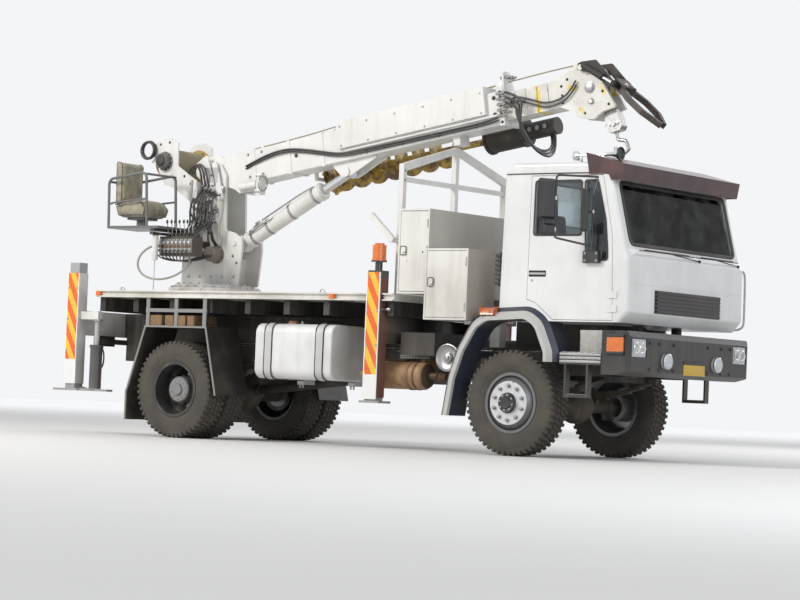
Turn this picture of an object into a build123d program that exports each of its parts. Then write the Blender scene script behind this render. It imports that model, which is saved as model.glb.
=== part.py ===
from build123d import *
import os
from math import cos, radians, sin

os.makedirs("parts", exist_ok=True)

# Millimetres. +X runs forward, +Y to the truck's left, +Z up from the ground.
# The origin is on the ground, in the middle of the truck's length and width.
# Dimensions named *_x are distances ahead of the front axle.
F = 2415.0                  # front axle ahead of the origin
wheelbase = 4500.0
tyre_r = 540.0
rim_r = 290.0
front_track_y = 980.0       # middle of a front tyre
rear_outer_y = 1050.0       # middle of an outer rear tyre
twin_gap = 335.0            # between the middles of twin tyres
king_pin_y = 820.0
king_pin_r = 22.0
spindle_r = 50.0
running_gap = 0.4           # shaft in a hole
seat_gap = 0.3              # between faces that slide or hinge on each other

rail_y = 420.0              # outer face of a chassis rail
rail_bottom = 850.0
rail_top = 1120.0
rail_flange = 75.0
rail_wall = 8.0
rail_rear_x = -5940.0
rail_front_x = 1130.0

deck_half = 1220.0
deck_bottom = 1560.0
deck_top = 1640.0
deck_rear_x = -5710.0
deck_front_x = -1470.0
body_half = deck_half - 20  # guards, cabinet and steps stay just inside the deck

cab_half = 1145.0
cab_wall = 50.0
cab_bottom = 1380.0
cab_roof = 2990.0
cab_back_x = -178.0
cab_back_top_x = -150.0
screen_foot = (1330.0, 2120.0)
screen_head = (1150.0, 2830.0)
cab_front_x = 1388.0
door_gap = 6.0
door_hinge_x = 1206.0

turret_x = -4970.0
slew_top = 1720.0
pivot_x = -4900.0
pivot_z = 3030.0
boom_rise = 9.3             # nose-up angle of the stowed boom
boom_half = 150.0
boom_low = -165.0
boom_high = 205.0
boom_root_u = -300.0
boom_mouth_u = 4070.0
inner_half = 120.0
inner_low = -120.0
inner_high = 175.0
inner_root_u = 1250.0
pad = 18.0                  # wear pads between the two booms
sheave_uv = (5150.0, 20.0)
sheave_r = 150.0
rope_r = 9.0
claw_pivot = (5085.0, 242.0)
claw_droop = -50.0
arm_pin = (20.0, 60.0)
arm_pin_r = 15.0
auger_y = 455.0
auger_v = -170.0
lift_foot = (-4550.0, 2250.0)
lift_eye = (1838.0, -275.0)  # along and above the boom's pivot line


def at(x):
    """Model X of a place measured ahead of the front axle."""
    return F + x


def upright(y=0.0):
    """Plane along the truck, drawn in model X and Z, facing -Y."""
    return Plane.XZ.offset(-y)


def across(x):
    """Plane across the truck at a distance ahead of the front axle, drawn in Y and Z."""
    return Plane.YZ.offset(at(x))


def block(x0, x1, y0, y1, z0, z1, mode=Mode.ADD):
    """Box between limits. X is measured from the front axle."""
    with Locations((at((x0 + x1) / 2), (y0 + y1) / 2, (z0 + z1) / 2)):
        Box(x1 - x0, abs(y1 - y0), z1 - z0, mode=mode)


def plate(points, plane, thickness, both=False, mode=Mode.ADD, corner=0.0):
    """Plate with a straight-sided outline, its corners rounded if asked. On an upright plane, X is from
    the front axle."""
    moved = plane if plane.z_dir.Y == 0 else plane.move(Location((F, 0, 0)))
    with BuildSketch(moved) as outline:
        with BuildLine():
            if corner:
                FilletPolyline(*points, close=True, radius=corner)
            else:
                Polyline(*points, close=True)
        make_face()
    extrude(outline.sketch, amount=thickness, both=both, mode=mode)


def rod(start, end, radius, mode=Mode.ADD):
    """Round bar between two points. X is measured from the front axle."""
    first = Vector(at(start[0]), start[1], start[2])
    along = Vector(at(end[0]), end[1], end[2]) - first
    with BuildSketch(Plane(origin=first, z_dir=along)) as section:
        Circle(radius)
    extrude(section.sketch, amount=along.length, mode=mode)


def bar(start, end, width, depth, side=(0, 1, 0)):
    """Square bar between two points; width runs along side. X is from the front axle."""
    first = Vector(at(start[0]), start[1], start[2])
    along = Vector(at(end[0]), end[1], end[2]) - first
    with BuildSketch(Plane(origin=first, x_dir=side, z_dir=along)) as section:
        Rectangle(width, depth)
    extrude(section.sketch, amount=along.length)


def tube(points, radius, bend):
    """Round bar bent through model points."""
    with BuildLine() as path:
        FilletPolyline(*points, radius=bend)
    with BuildSketch(Plane(origin=points[0], z_dir=points[1] - points[0])) as section:
        Circle(radius)
    sweep(section.sketch, path=path.wires()[0])


def ring(points, x, z, mode=Mode.ADD):
    """Body turned about a cross axle at x and z, from pairs of Y and radius."""
    with BuildSketch(across(x)) as half:
        with BuildLine():
            Polyline(*[(y, z + r) for y, r in points], close=True)
        make_face()
    revolve(half.sketch, axis=Axis((at(x), 0, z), (0, 1, 0)), mode=mode)


def save(piece, name):
    """Label a finished piece and write it."""
    piece.part.label = name
    export_step(piece.part, f"parts/{name}.step")


# Boom frame: u runs out along the boom from its pivot, v is up from that line.
boom_dir = Vector(cos(radians(boom_rise)), 0, sin(radians(boom_rise)))
boom_up = Vector(-sin(radians(boom_rise)), 0, cos(radians(boom_rise)))
boom_pivot = Vector(at(pivot_x), 0, pivot_z)
boom_plane = Plane(origin=boom_pivot, x_dir=boom_dir, z_dir=(0, -1, 0))


def on_boom(u, v, y=0.0):
    """Model point at u and v in the boom's frame."""
    return boom_pivot + boom_dir * u + boom_up * v + Vector(0, y, 0)


def boom_section(u, v=0.0, y=0.0):
    """Plane across the boom at u, drawn in Y and v, facing out along the boom."""
    return Plane(origin=on_boom(u, v, y), x_dir=(0, 1, 0), z_dir=boom_dir)


def boom_plate(points, y, thickness, both=False, mode=Mode.ADD, corner=0.0):
    """Plate along the boom from pairs of u and v; thickness runs towards -Y."""
    with BuildSketch(boom_plane.offset(-y)) as outline:
        with BuildLine():
            if corner:
                FilletPolyline(*points, close=True, radius=corner)
            else:
                Polyline(*points, close=True)
        make_face()
    extrude(outline.sketch, amount=thickness, both=both, mode=mode)


def boom_box(u0, u1, y0, y1, v0, v1, mode=Mode.ADD, corner=0.0):
    """Box between limits in the boom's frame, its long corners rounded if asked."""
    with BuildSketch(boom_section(u0, (v0 + v1) / 2, (y0 + y1) / 2)) as section:
        if corner:
            RectangleRounded(abs(y1 - y0), v1 - v0, corner)
        else:
            Rectangle(abs(y1 - y0), v1 - v0)
    extrude(section.sketch, amount=u1 - u0, mode=mode)


def boom_round(u0, u1, v, y, radius, mode=Mode.ADD):
    """Round bar along the boom."""
    with BuildSketch(boom_section(u0, v, y)) as section:
        Circle(radius)
    extrude(section.sketch, amount=u1 - u0, mode=mode)


def boom_pin(u, v, y0, y1, radius, mode=Mode.ADD):
    """Cross pin through the boom's frame."""
    with BuildSketch(Plane(origin=on_boom(u, v, y0), z_dir=(0, 1, 0))) as section:
        Circle(radius)
    extrude(section.sketch, amount=y1 - y0, mode=mode)


def boom_wheel(points, u, v):
    """Body turned about a cross axis in the boom's frame, from pairs of Y and radius."""
    with BuildSketch(boom_section(u, v)) as half:
        with BuildLine():
            Polyline(*points, close=True)
        make_face()
    revolve(half.sketch, axis=Axis(on_boom(u, v), (0, 1, 0)))


# Chassis

hanger_y = rail_y + 85      # outer side of a spring's hanger
spring_reach = (760.0, 650.0)
with BuildPart() as chassis_frame:
    for side in (-1, 1):
        with BuildSketch(across(rail_rear_x)) as channel:
            with Locations((side * (rail_y - rail_flange / 2), (rail_bottom + rail_top) / 2)):
                Rectangle(rail_flange, rail_top - rail_bottom)
            with Locations((side * (rail_y - rail_wall - rail_flange / 2), (rail_bottom + rail_top) / 2)):
                Rectangle(rail_flange, rail_top - rail_bottom - 2 * rail_wall, mode=Mode.SUBTRACT)
        extrude(channel.sketch, amount=rail_front_x - rail_rear_x)
    for x in (-5900, -5250, -3700, -2300, 1080):
        block(x - 40, x + 40, -rail_y + rail_wall, rail_y - rail_wall, 900, 1060)
    for side in (-1, 1):
        for middle, reach in zip((0, -wheelbase), spring_reach):
            for x in (middle - reach, middle + reach):
                block(x - 45, x + 45, side * rail_y, side * hanger_y, rail_bottom, 1000)
save(chassis_frame, "chassis_frame")

front_beam_x = (-1790.0, -1630.0)
rear_beam_x = (-6130.0, -5970.0)
housing_y = (deck_half - 135, deck_half + 15)
leg_clear = 0.4
jack_x = -5720.0
jack_y = deck_half - 60
jack_rod_r = 30.0
housing_wall = 8.0
beam_top = 1400.0
cross_end = deck_half - 70
# lower and upper end of a leg's housing
housing_z = {front_beam_x: (540.0, 1860.0), rear_beam_x: (560.0, 1830.0)}

with BuildPart() as subframe:
    for side in (-1, 1):
        for low_x, high_x in ((rear_beam_x[1], front_beam_x[0]), (front_beam_x[1], deck_front_x)):
            block(low_x, high_x, side * (rail_y - 120), side * rail_y, rail_top, beam_top)
    for x in (-5660, -5150, -4600, -4050, -3500, -2950, -2400, -1540):
        block(x - 40, x + 40, -cross_end, cross_end, beam_top, deck_bottom)
    for side in (-1, 1):
        for x in (-100, 1000):
            block(x, x + 80, side * (rail_y - rail_flange), side * rail_y, rail_top, cab_bottom)
save(subframe, "subframe")

with BuildPart() as outrigger_housings:
    for (low_x, high_x), (foot, head) in housing_z.items():
        for side in (-1, 1):
            block(low_x, high_x, side * housing_y[0], side * housing_y[1], foot, head)
        block(low_x, high_x, -housing_y[0], housing_y[0], rail_top, beam_top)
    for (low_x, high_x), (foot, head) in housing_z.items():
        for side in (-1, 1):
            block(low_x + housing_wall, high_x - housing_wall, side * (housing_y[0] + housing_wall),
                  side * (housing_y[1] - housing_wall), foot - 10, head + 10, mode=Mode.SUBTRACT)
    cap = housing_z[front_beam_x][1]
    for side in (-1, 1):
        block(*front_beam_x, side * housing_y[0], side * housing_y[1], cap, cap + 20)
        rod((jack_x, side * jack_y, 640), (jack_x, side * jack_y, beam_top), jack_rod_r)
        block(rear_beam_x[1], jack_x + 40, side * (jack_y - 40), side * (jack_y + 40), 1300, 1390)
save(outrigger_housings, "outrigger_housings")

board_x = (-1710.0, -6050.0)
board_half = 90.0
with BuildPart() as warning_boards:
    for x, low, high in ((board_x[0], 520, 1860), (board_x[1], 560, 1830)):
        for side in (-1, 1):
            block(x - board_half, x + board_half, side * housing_y[1], side * (housing_y[1] + 8), low, high)
save(warning_boards, "warning_boards")

foot_z = (480.0, 505.0)
for name, (low_x, high_x), top in (("front", front_beam_x, 1840.0), ("rear", rear_beam_x, 1950.0)):
    for word, side in (("right", -1), ("left", 1)):
        with BuildPart() as outrigger_leg:
            inset = housing_wall + leg_clear
            y0 = side * (housing_y[0] + inset)
            y1 = side * (housing_y[1] - inset)
            block(low_x + inset, high_x - inset, y0, y1, foot_z[0] + 20, top)
            middle = (low_x + high_x) / 2
            block(middle - 130, middle + 130, side * (housing_y[0] - 55), side * (housing_y[1] + 10), *foot_z)
            if name == "rear":
                block(middle - 280, middle + 560, side * (jack_y - 50), side * (jack_y + 50), *foot_z)
                plate([(middle + 62, foot_z[1]), (middle + 250, foot_z[1]), (middle + 62, 545)],
                      upright(side * jack_y), 12, both=True)
                rod((jack_x, side * jack_y, foot_z[1]), (jack_x, side * jack_y, 1010), 70)
                rod((jack_x, side * jack_y, 975), (jack_x, side * jack_y, 1010), 80)
                rod((jack_x, side * jack_y, 560), (jack_x, side * jack_y, 1060), jack_rod_r + 6,
                    mode=Mode.SUBTRACT)
        save(outrigger_leg, f"outrigger_leg_{name}_{word}")

diff_y = 120.0
front_nose = (-300.0, diff_y, 600.0)
rear_nose = (300.0 - wheelbase, 0.0, 575.0)
with BuildPart() as engine_and_gearbox:
    block(-500, 720, -310, 310, 800, 1600)
    rod((-500, 0, 1000), (-1250, 0, 1000), 210)
    block(-1750, -1250, -230, 230, 760, 1100)
    rod((-1750, 0, 840), rear_nose, 50)
    rod((-1250, diff_y, 790), front_nose, 40)
save(engine_and_gearbox, "engine_and_gearbox")

beam_r = (70.0, 95.0)       # front and rear axle beams
pad_z = (tyre_r + beam_r[0], tyre_r + beam_r[1])
spring_y = (rail_y + 4, rail_y + 80)
with BuildPart() as axles:
    end_y = king_pin_y - 80
    ring([(-end_y, 0), (-end_y, 90), (-735, 90), (-700, beam_r[0]), (-60, beam_r[0]), (-25, 120), (30, 170),
          (diff_y - 40, 190), (diff_y + 40, 190), (210, 170), (265, 120), (300, beam_r[0]), (700, beam_r[0]),
          (735, 90), (end_y, 90), (end_y, 0)], 0, tyre_r)
    rod((-100, diff_y, 560), front_nose, 60)
    for side in (-1, 1):
        for low, high in ((-142, -112), (112, 142)):
            block(-33, 33, side * 700, side * king_pin_y, tyre_r + low, tyre_r + high)
            rod((0, side * king_pin_y, tyre_r + low), (0, side * king_pin_y, tyre_r + high), 33)
            rod((0, side * king_pin_y, tyre_r + low), (0, side * king_pin_y, tyre_r + high),
                king_pin_r + running_gap, mode=Mode.SUBTRACT)
        block(-33, 33, side * 690, side * 735, tyre_r - 142, tyre_r + 142)
        for x, top in zip((0, -wheelbase), pad_z):
            block(x - 60, x + 60, side * spring_y[0], side * spring_y[1], tyre_r, top)
    stub = rear_outer_y - 60
    ring([(-stub, 0), (-stub, spindle_r), (-620, spindle_r), (-620, beam_r[1]), (-240, beam_r[1]), (-205, 150),
          (-140, 200), (-60, 228), (60, 228), (140, 200), (205, 150), (240, beam_r[1]), (620, beam_r[1]),
          (620, spindle_r), (stub, spindle_r), (stub, 0)], -wheelbase, tyre_r)
    rod((80 - wheelbase, 0, 551.204), rear_nose, 70)
save(axles, "axles")

leaf = 20.0
with BuildPart() as leaf_springs:
    for middle, reach, foot in zip((0, -wheelbase), spring_reach, pad_z):
        for side in (-1, 1):
            for count, share in enumerate((1.0, 0.8, 0.6, 0.42, 0.25)):
                low = foot + (4 - count) * (leaf - 2)
                tip = (rail_bottom - 2 * leaf - foot - 4 * (leaf - 2)) * share ** 2
                half = reach * share
                with BuildSketch(upright(side * spring_y[0] if side < 0 else spring_y[1])) as arc:
                    with BuildLine():
                        ThreePointArc((at(middle - half), low + tip), (at(middle), low),
                                      (at(middle + half), low + tip))
                        Line((at(middle + half), low + tip), (at(middle + half), low + tip + leaf))
                        ThreePointArc((at(middle + half), low + tip + leaf), (at(middle), low + leaf),
                                      (at(middle - half), low + tip + leaf))
                        Line((at(middle - half), low + tip + leaf), (at(middle - half), low + tip))
                    make_face()
                extrude(arc.sketch, amount=spring_y[1] - spring_y[0])
            for x in (middle - reach, middle + reach):
                block(x - 28, x + 28, side * spring_y[0], side * spring_y[1], rail_bottom - 56, rail_bottom)
            top = foot + 5 * (leaf - 2) + 2
            block(middle - 55, middle + 55, side * spring_y[0], side * spring_y[1], top - 10, top + 22)
save(leaf_springs, "leaf_springs")

tank_x = (-3330.0, -2270.0)
tank_y = (15 - deck_half, -565.0)
tank_z = (700.0, 1300.0)
tank_r = 110.0
strap_x = (-3140.0, -2430.0)
strap_w = 90.0
strap_t = 8.0


def tank_section(x, grow=0.0):
    """Rounded section of the fuel tank, or of a strap that stands proud of it."""
    with BuildSketch(across(x)) as section:
        with Locations((sum(tank_y) / 2, sum(tank_z) / 2)):
            RectangleRounded(tank_y[1] - tank_y[0] + 2 * grow, tank_z[1] - tank_z[0] + 2 * grow,
                             tank_r + grow)
    return section.sketch


with BuildPart() as fuel_tank:
    extrude(tank_section(tank_x[0]), amount=tank_x[1] - tank_x[0])
    ends = fuel_tank.part.faces().filter_by(Axis.X)
    fillet(ends.edges(), 22)
    for x in strap_x:
        extrude(tank_section(x - strap_w / 2, strap_t), amount=strap_w)
        block(x - strap_w / 2, x + strap_w / 2, -620, -rail_y, tank_z[0] - 50, tank_z[0] + 10)
        block(x - strap_w / 2, x + strap_w / 2, -505, -rail_y, tank_z[0] - 50, 1100)
    rod((-2960, -1000, tank_z[1] - 20), (-2960, -1000, tank_z[1] + 18), 62)
    rod((-2960, -1000, tank_z[1] + 18), (-2960, -1000, tank_z[1] + 34), 52)
save(fuel_tank, "fuel_tank")

muffler_y = -900.0
muffler_z = 785.0
muffler_x = (-1970.0, -1170.0)
with BuildPart() as muffler:
    start = Vector(at(muffler_x[0]), muffler_y, muffler_z)
    with BuildSketch(Plane(origin=start, x_dir=(1, 0, 0), z_dir=(0, -1, 0))) as half:
        with BuildLine():
            Polyline((0, 0), (0, 80), (22, 125), (60, 145), (560, 145), (560, 152), (600, 152), (600, 145),
                     (740, 145), (778, 125), (800, 80), (800, 0), close=True)
        make_face()
    revolve(half.sketch, axis=Axis(start, (1, 0, 0)))
    rod((muffler_x[0] - 90, muffler_y, muffler_z), (muffler_x[0] + 10, muffler_y, muffler_z), 50)
    rod((muffler_x[1] - 10, muffler_y, muffler_z), (muffler_x[1] + 110, muffler_y, muffler_z), 42)
    for x in (-1850, -1300):
        block(x - 25, x + 25, -860, -rail_y, 880, 960)
save(muffler, "muffler")

with BuildPart() as battery_box:
    block(-2900, -2250, rail_y, body_half - 50, 720, 1200)
    rod((-3700, 700, 900), (-3000, 700, 900), 120)
    for x in (-3560, -3140):
        block(x - 20, x + 20, rail_y, 700, 880, 920)
    block(-1500, -1060, -1000, -rail_y, 1000, 1240)
save(battery_box, "battery_box")

# Mudguards, bumper and lamps

guard_half = (900.0, 1240.0)
arch_flare = 95.0           # width of the sloping outer part
arch_slope = 43.0
arch_band = 130.0           # depth of the arch at its outer face
arch_ends = (385.0, 969.0)  # height of its rear and front ends
arch_chain = [(-879, 100), (-764, 800), (-653, 1110), (-477, 1395), (-295, 1500), (259, 1530),
              (447, 1408), (594, 1089), (600, 500)]


def arch_face(y, shrink=0.0):
    """Outline of the right front arch at a height across the truck, or one inside it."""
    with BuildSketch(Plane.XZ.offset(y).move(Location((F, 0, 0)))) as outline:
        with BuildLine():
            path = FilletPolyline(*arch_chain, radius=300)
            Line(path @ 1, path @ 0)
        make_face()
        if shrink:
            offset(amount=-shrink, kind=Kind.INTERSECTION, mode=Mode.REPLACE)
    return outline.sketch


with BuildPart() as front_mudguards:
    bend_y = guard_half[1] - arch_flare
    extrude(arch_face(guard_half[0]), amount=bend_y - guard_half[0])
    extrude(arch_face(bend_y), amount=arch_flare, taper=arch_slope)
    extrude(arch_face(guard_half[0] - 10, arch_band), amount=guard_half[1] - guard_half[0] + 20,
            mode=Mode.SUBTRACT)
    for low_x, high_x, end in ((-900, -500, arch_ends[0]), (-500, 700, arch_ends[1])):
        block(low_x, high_x, 10 - guard_half[0], -guard_half[1] - 10, 0, end, mode=Mode.SUBTRACT)
    block(-680, -600, -rail_y, -guard_half[0], 1000, 1060)
    mirror(about=Plane.XZ)
save(front_mudguards, "front_mudguards")

guard_profile = [(-710, 510), (-460, 1250), (450, 1250), (630, 490), (610, 485), (434, 1228), (-444, 1228),
                 (-690, 503)]
with BuildPart() as rear_mudguards:
    guard_in = rear_outer_y - twin_gap - 65
    for side in (-1, 1):
        plate([(x - wheelbase, z) for x, z in guard_profile], upright(side * (guard_in + body_half) / 2),
              (body_half - guard_in) / 2, both=True)
        for x in (-420, 0, 420):
            block(x - wheelbase - 25, x - wheelbase + 25, side * (body_half - 50), side * body_half, 1250,
                  deck_bottom)
        block(-450 - wheelbase, 450 - wheelbase, side * (body_half - 50), side * body_half, 1400, 1440)
        block(-715 - wheelbase, -695 - wheelbase, side * guard_in, side * body_half, 180, 520)
save(rear_mudguards, "rear_mudguards")

bumper_z = (860.0, 1300.0)
with BuildPart() as front_bumper:
    plate([(1130, bumper_z[1]), (1420, bumper_z[1]), (1450, 1240), (1450, 900), (1300, bumper_z[0]),
           (1130, bumper_z[0])], upright(), body_half - 5, both=True)
    corners = [e for e in front_bumper.part.edges()
               if e.center().X > at(1440) and abs(e.center().Y) > body_half - 10]
    fillet(corners, 45)
    block(1100, 1350, -1090, 1090, 880, 1280, mode=Mode.SUBTRACT)
    for side in (-1, 1):
        block(rail_front_x, 1360, side * (rail_y - rail_flange), side * rail_y, 900, 1100)
        block(640, 1130, side * 900, side * body_half, 950, 1070)
        block(700, 980, side * (body_half - 80), side * body_half, 620, 650)
        block(700, 720, side * (body_half - 80), side * body_half, 650, 950)
        block(960, 980, side * (body_half - 80), side * body_half, 650, 950)
        block(1090, 1160, side * rail_y, side * 910, 960, 1060)
        block(1400, 1460, side * 862, side * 1138, 1042, 1228, mode=Mode.SUBTRACT)
save(front_bumper, "front_bumper")

beacon_y = jack_y
with BuildPart() as lamps:
    for side in (-1, 1):
        block(1400, 1440, side * 866, side * 1134, 1046, 1224)
        block(1440, 1452, side * 890, side * 1110, 1066, 1204)
        rod((1450, side * 500, 1020), (1468, side * 500, 1020), 80)
        rod((1468, side * 500, 1020), (1500, side * 500, 1020), 68)
        block(1200, 1390, side * (body_half - 5), side * (body_half + 15), 1090, 1230)
        rod((board_x[0], side * beacon_y, 1880), (board_x[0], side * beacon_y, 1970), 40)
        rod((board_x[0], side * beacon_y, 1970), (board_x[0], side * beacon_y, 1995), 84)
        rod((board_x[0], side * beacon_y, 1995), (board_x[0], side * beacon_y, 2150), 74)
        rod((board_x[0], side * beacon_y, 2150), (board_x[0], side * beacon_y, 2170), 52)
        for x in (-5670, -2280):
            block(x - 30, x + 30, side * (deck_half - 30), side * (deck_half + 15), 1575, 1625)
save(lamps, "lamps")

# Deck, boxes and headboard

headboard_x = -1600.0
peak_z = 3300.0
eave_y = 950.0
eave_z = 3030.0
post_w = 60.0
socket = 30.0               # depth of a headboard post's socket in the deck

with BuildPart() as deck:
    block(deck_rear_x, deck_front_x, -deck_half, deck_half, deck_bottom, deck_top)
    for side in (-1, 1):
        block(-1810, -1610, side * 1060, side * 1300, 1500, 1700, mode=Mode.SUBTRACT)
        block(deck_rear_x, deck_front_x, side * (deck_half - 30), side * (deck_half + 10), 1575, 1625,
              mode=Mode.SUBTRACT)
    for y in (-eave_y, 0, eave_y):
        block(headboard_x - post_w / 2 - seat_gap, headboard_x + post_w / 2 + seat_gap,
              y - post_w / 2 - seat_gap, y + post_w / 2 + seat_gap, deck_top - socket, deck_top,
              mode=Mode.SUBTRACT)
    with Locations((at(turret_x), 0, (deck_top + slew_top) / 2)):
        Cylinder(540, slew_top - deck_top)
save(deck, "deck")

cabinet_x = (-1435.0, -1040.0)
cabinet_z = (deck_top, 2530.0)
box_x = (-1040.0, -495.0)
box_y = (-750.0, -1250.0)
box_z = (1370.0, 2110.0)
sheet = 20.0                # thickness of the boxes' sides
with BuildPart() as cabinet:
    block(*cabinet_x, -body_half, body_half, *cabinet_z)
    for side in (-1, 1):
        block(cabinet_x[0] + sheet, cabinet_x[1] - sheet, side * body_half / 2, side * (body_half + 10),
              cabinet_z[0] + sheet, cabinet_z[1] - sheet, mode=Mode.SUBTRACT)
        block(cabinet_x[0] - 5, cabinet_x[1], side * (rail_y - 120), side * rail_y, beam_top, cabinet_z[0])
    block(*box_x, *box_y, *box_z)
    block(box_x[0] + sheet, box_x[1] - sheet, box_y[0] + 20, box_y[1] - 10, box_z[0] + sheet,
          box_z[1] - sheet, mode=Mode.SUBTRACT)
    block(-760, -640, -(rail_y - 120), -rail_y, rail_top, box_z[0])
    block(-760, -640, -(rail_y - 120), -900, box_z[0] - 30, box_z[0])
save(cabinet, "cabinet")

for word, side in (("right", -1), ("left", 1)):
    with BuildPart() as cabinet_door:
        block(cabinet_x[0] + 26, cabinet_x[1] - sheet - seat_gap, side * (body_half - 24), side * body_half,
              cabinet_z[0] + 26, cabinet_z[1] - 26)
        block(-1395, -1330, side * body_half, side * (body_half + 12), 2050, 2130)
    save(cabinet_door, f"cabinet_door_{word}")

with BuildPart() as box_door:
    block(box_x[0] + 26, box_x[1] - sheet - seat_gap, box_y[1] + 24, box_y[1], box_z[0] + 26, box_z[1] - 26)
    block(-985, -925, box_y[1], box_y[1] - 12, 1720, 1800)
save(box_door, "box_door")

rest_y = -1105.0            # pole rest outboard of the right post
with BuildPart() as headboard:
    for y in (-eave_y, 0, eave_y):
        top = peak_z - 40 if y == 0 else eave_z - 20
        bar((headboard_x, y, deck_top - socket), (headboard_x, y, top), post_w, post_w)
    bar((headboard_x, -eave_y, 2870), (headboard_x, eave_y, 2870), 50, 50, side=(1, 0, 0))
    for side in (-1, 1):
        plate([(side * (eave_y + 30), eave_z - 30), (side * (eave_y + 30), eave_z), (0, peak_z),
               (0, peak_z - 70), (side * (eave_y - 30), eave_z - 70), (side * (eave_y + 30), eave_z - 90)],
              across(headboard_x - 30), 60)
    bar((headboard_x, -eave_y, 2210), (headboard_x, rest_y - 25, 2210), 50, 50, side=(1, 0, 0))
    bar((headboard_x + 25, rest_y, 2205), (-1880, rest_y, 2480), 50, 60)
save(headboard, "headboard")

# Cab

nose_z = (1490.0, 2040.0)   # lower and upper end of the panel under the windscreen
nose_lean = 8.0
cab_outline = [(cab_back_x, cab_bottom), (cab_back_top_x, 2890), (-60, cab_roof), (1000, cab_roof),
               screen_head, screen_foot, (cab_front_x - nose_lean, nose_z[1]), (cab_front_x, nose_z[0]),
               (cab_front_x - 100, cab_bottom)]
wall_line = cab_roof - cab_wall
cab_round = 42.0
door_outline = [(door_hinge_x, 1400), (1170, 2250), (1040, 2850), (190, 2850), (180, 1600), (290, 1565),
                (500, 1400)]
main_window = [(235, 2250), (240, 2800), (795, 2800), (808, 2250)]
quarter_window = [(872, 2000), (832, 2800), (985, 2800), (1092, 2400), (1122, 2120), (1128, 2000)]
tunnel = (-128.0, 760.0, 360.0, 1660.0)
hinge_z = (1480.0, 1620.0)
hinge_out = 12.0

screen_tilt = Vector(screen_foot[0] - screen_head[0], 0, screen_foot[1] - screen_head[1]).normalized()
screen_mid = Vector(at((screen_foot[0] + screen_head[0]) / 2), 0, (screen_foot[1] + screen_head[1]) / 2)
screen_plane = Plane(origin=screen_mid, x_dir=(0, 1, 0), z_dir=screen_tilt.cross(Vector(0, 1, 0)))
screen_size = (2060.0, 640.0)
rear_window = (-450, 450, 2420, 2860)


def nose_x(z):
    """Distance of the panel under the windscreen ahead of the axle at a height."""
    return cab_front_x - nose_lean * (z - nose_z[0]) / (nose_z[1] - nose_z[0])


def cab_form():
    """Outside of the cab with its edges rounded, solid."""
    with BuildPart() as form:
        plate(cab_outline, upright(), cab_half, both=True)
        sides = form.part.faces().filter_by(Axis.Y).edges()
        crowns = form.part.edges().filter_by(Axis.Y)
        fillet([e for e in sides + crowns if e.center().Z > cab_bottom + 1], cab_round)
    return form.part


with BuildPart() as cab_shell:
    add(cab_form())
    with BuildSketch(upright().move(Location((F, 0, 0)))) as hollow:
        with BuildLine():
            Polyline(*cab_outline, close=True)
        make_face()
        offset(amount=-cab_wall, kind=Kind.INTERSECTION, mode=Mode.REPLACE)
    extrude(hollow.sketch, amount=cab_half - cab_wall, both=True, mode=Mode.SUBTRACT)
    block(cab_back_x, cab_front_x, -cab_half, cab_half, wall_line, cab_roof, mode=Mode.SUBTRACT)
    for side in (-1, 1):
        with BuildSketch(upright(side * (cab_half - cab_wall / 2)).move(Location((F, 0, 0)))) as doorway:
            with BuildLine():
                Polyline(*door_outline, close=True)
            make_face()
            offset(amount=door_gap, kind=Kind.INTERSECTION, mode=Mode.REPLACE)
        extrude(doorway.sketch, amount=cab_wall / 2 + 1, both=True, mode=Mode.SUBTRACT)
    arch_void = extrude(arch_face(guard_half[0]), amount=cab_half + 10 - guard_half[0], mode=Mode.PRIVATE)
    add([arch_void, arch_void.mirror(Plane.XZ)], mode=Mode.SUBTRACT)
    with BuildSketch(screen_plane) as screen_hole:
        RectangleRounded(*screen_size, 60)
    extrude(screen_hole.sketch, amount=90, both=True, mode=Mode.SUBTRACT)
    block(cab_back_x - 20, -80, *rear_window, mode=Mode.SUBTRACT)
    block(cab_front_x - nose_lean, cab_front_x, -cab_half + 60, cab_half - 60, 1764, 1774, mode=Mode.SUBTRACT)
    for side in (-1, 1):
        for z in hinge_z:
            block(door_hinge_x + seat_gap, door_hinge_x + 50, side * cab_half, side * (cab_half + hinge_out),
                  z, z + 70)
    low_x, high_x, half, top = tunnel
    block(low_x, high_x, -half, half, cab_bottom, top)
    block(low_x - 100, high_x - 20, -half + 20, half - 20, cab_bottom - 10, top - 20, mode=Mode.SUBTRACT)
save(cab_shell, "cab_shell")

with BuildPart() as roof_panel:
    add(cab_form())
    block(cab_back_x, cab_front_x, -cab_half, cab_half, cab_bottom, wall_line, mode=Mode.SUBTRACT)
save(roof_panel, "cab_roof")

with BuildPart() as cab_glass:
    with BuildSketch(screen_plane.offset(-30)) as pane:
        RectangleRounded(*screen_size, 60)
    extrude(pane.sketch, amount=8)
    block(-140, -132, *rear_window)
save(cab_glass, "cab_glass")

grille_half = 645.0
grille_z = (nose_z[0] + 5, 1727.0)
with BuildPart() as cab_trim:
    visor_half = cab_half + 10
    plate([(834, 3078), (1290, 2960), (1260, 2800), (1252, 2800), (1282, 2955), (834, 3070)],
          upright(), visor_half, both=True)
    for side in (-1, 1):
        plate([(834, 3078), (1290, 2960), (1260, 2800), (1140, 2800), (1110, 2862), (880, 2862)],
              upright(side * (visor_half - 5)), 5, both=True)
    plate([(nose_x(grille_z[0]), grille_z[0]), (cab_front_x + 8, grille_z[0]), (cab_front_x + 8, grille_z[1]),
           (nose_x(grille_z[1]), grille_z[1])], upright(), grille_half, both=True)
    for count in range(6):
        z = grille_z[0] + 12 + count * 38
        block(cab_front_x + 8, cab_front_x + 24, 16 - grille_half, grille_half - 16, z, z + 20)
save(cab_trim, "cab_trim")

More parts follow.
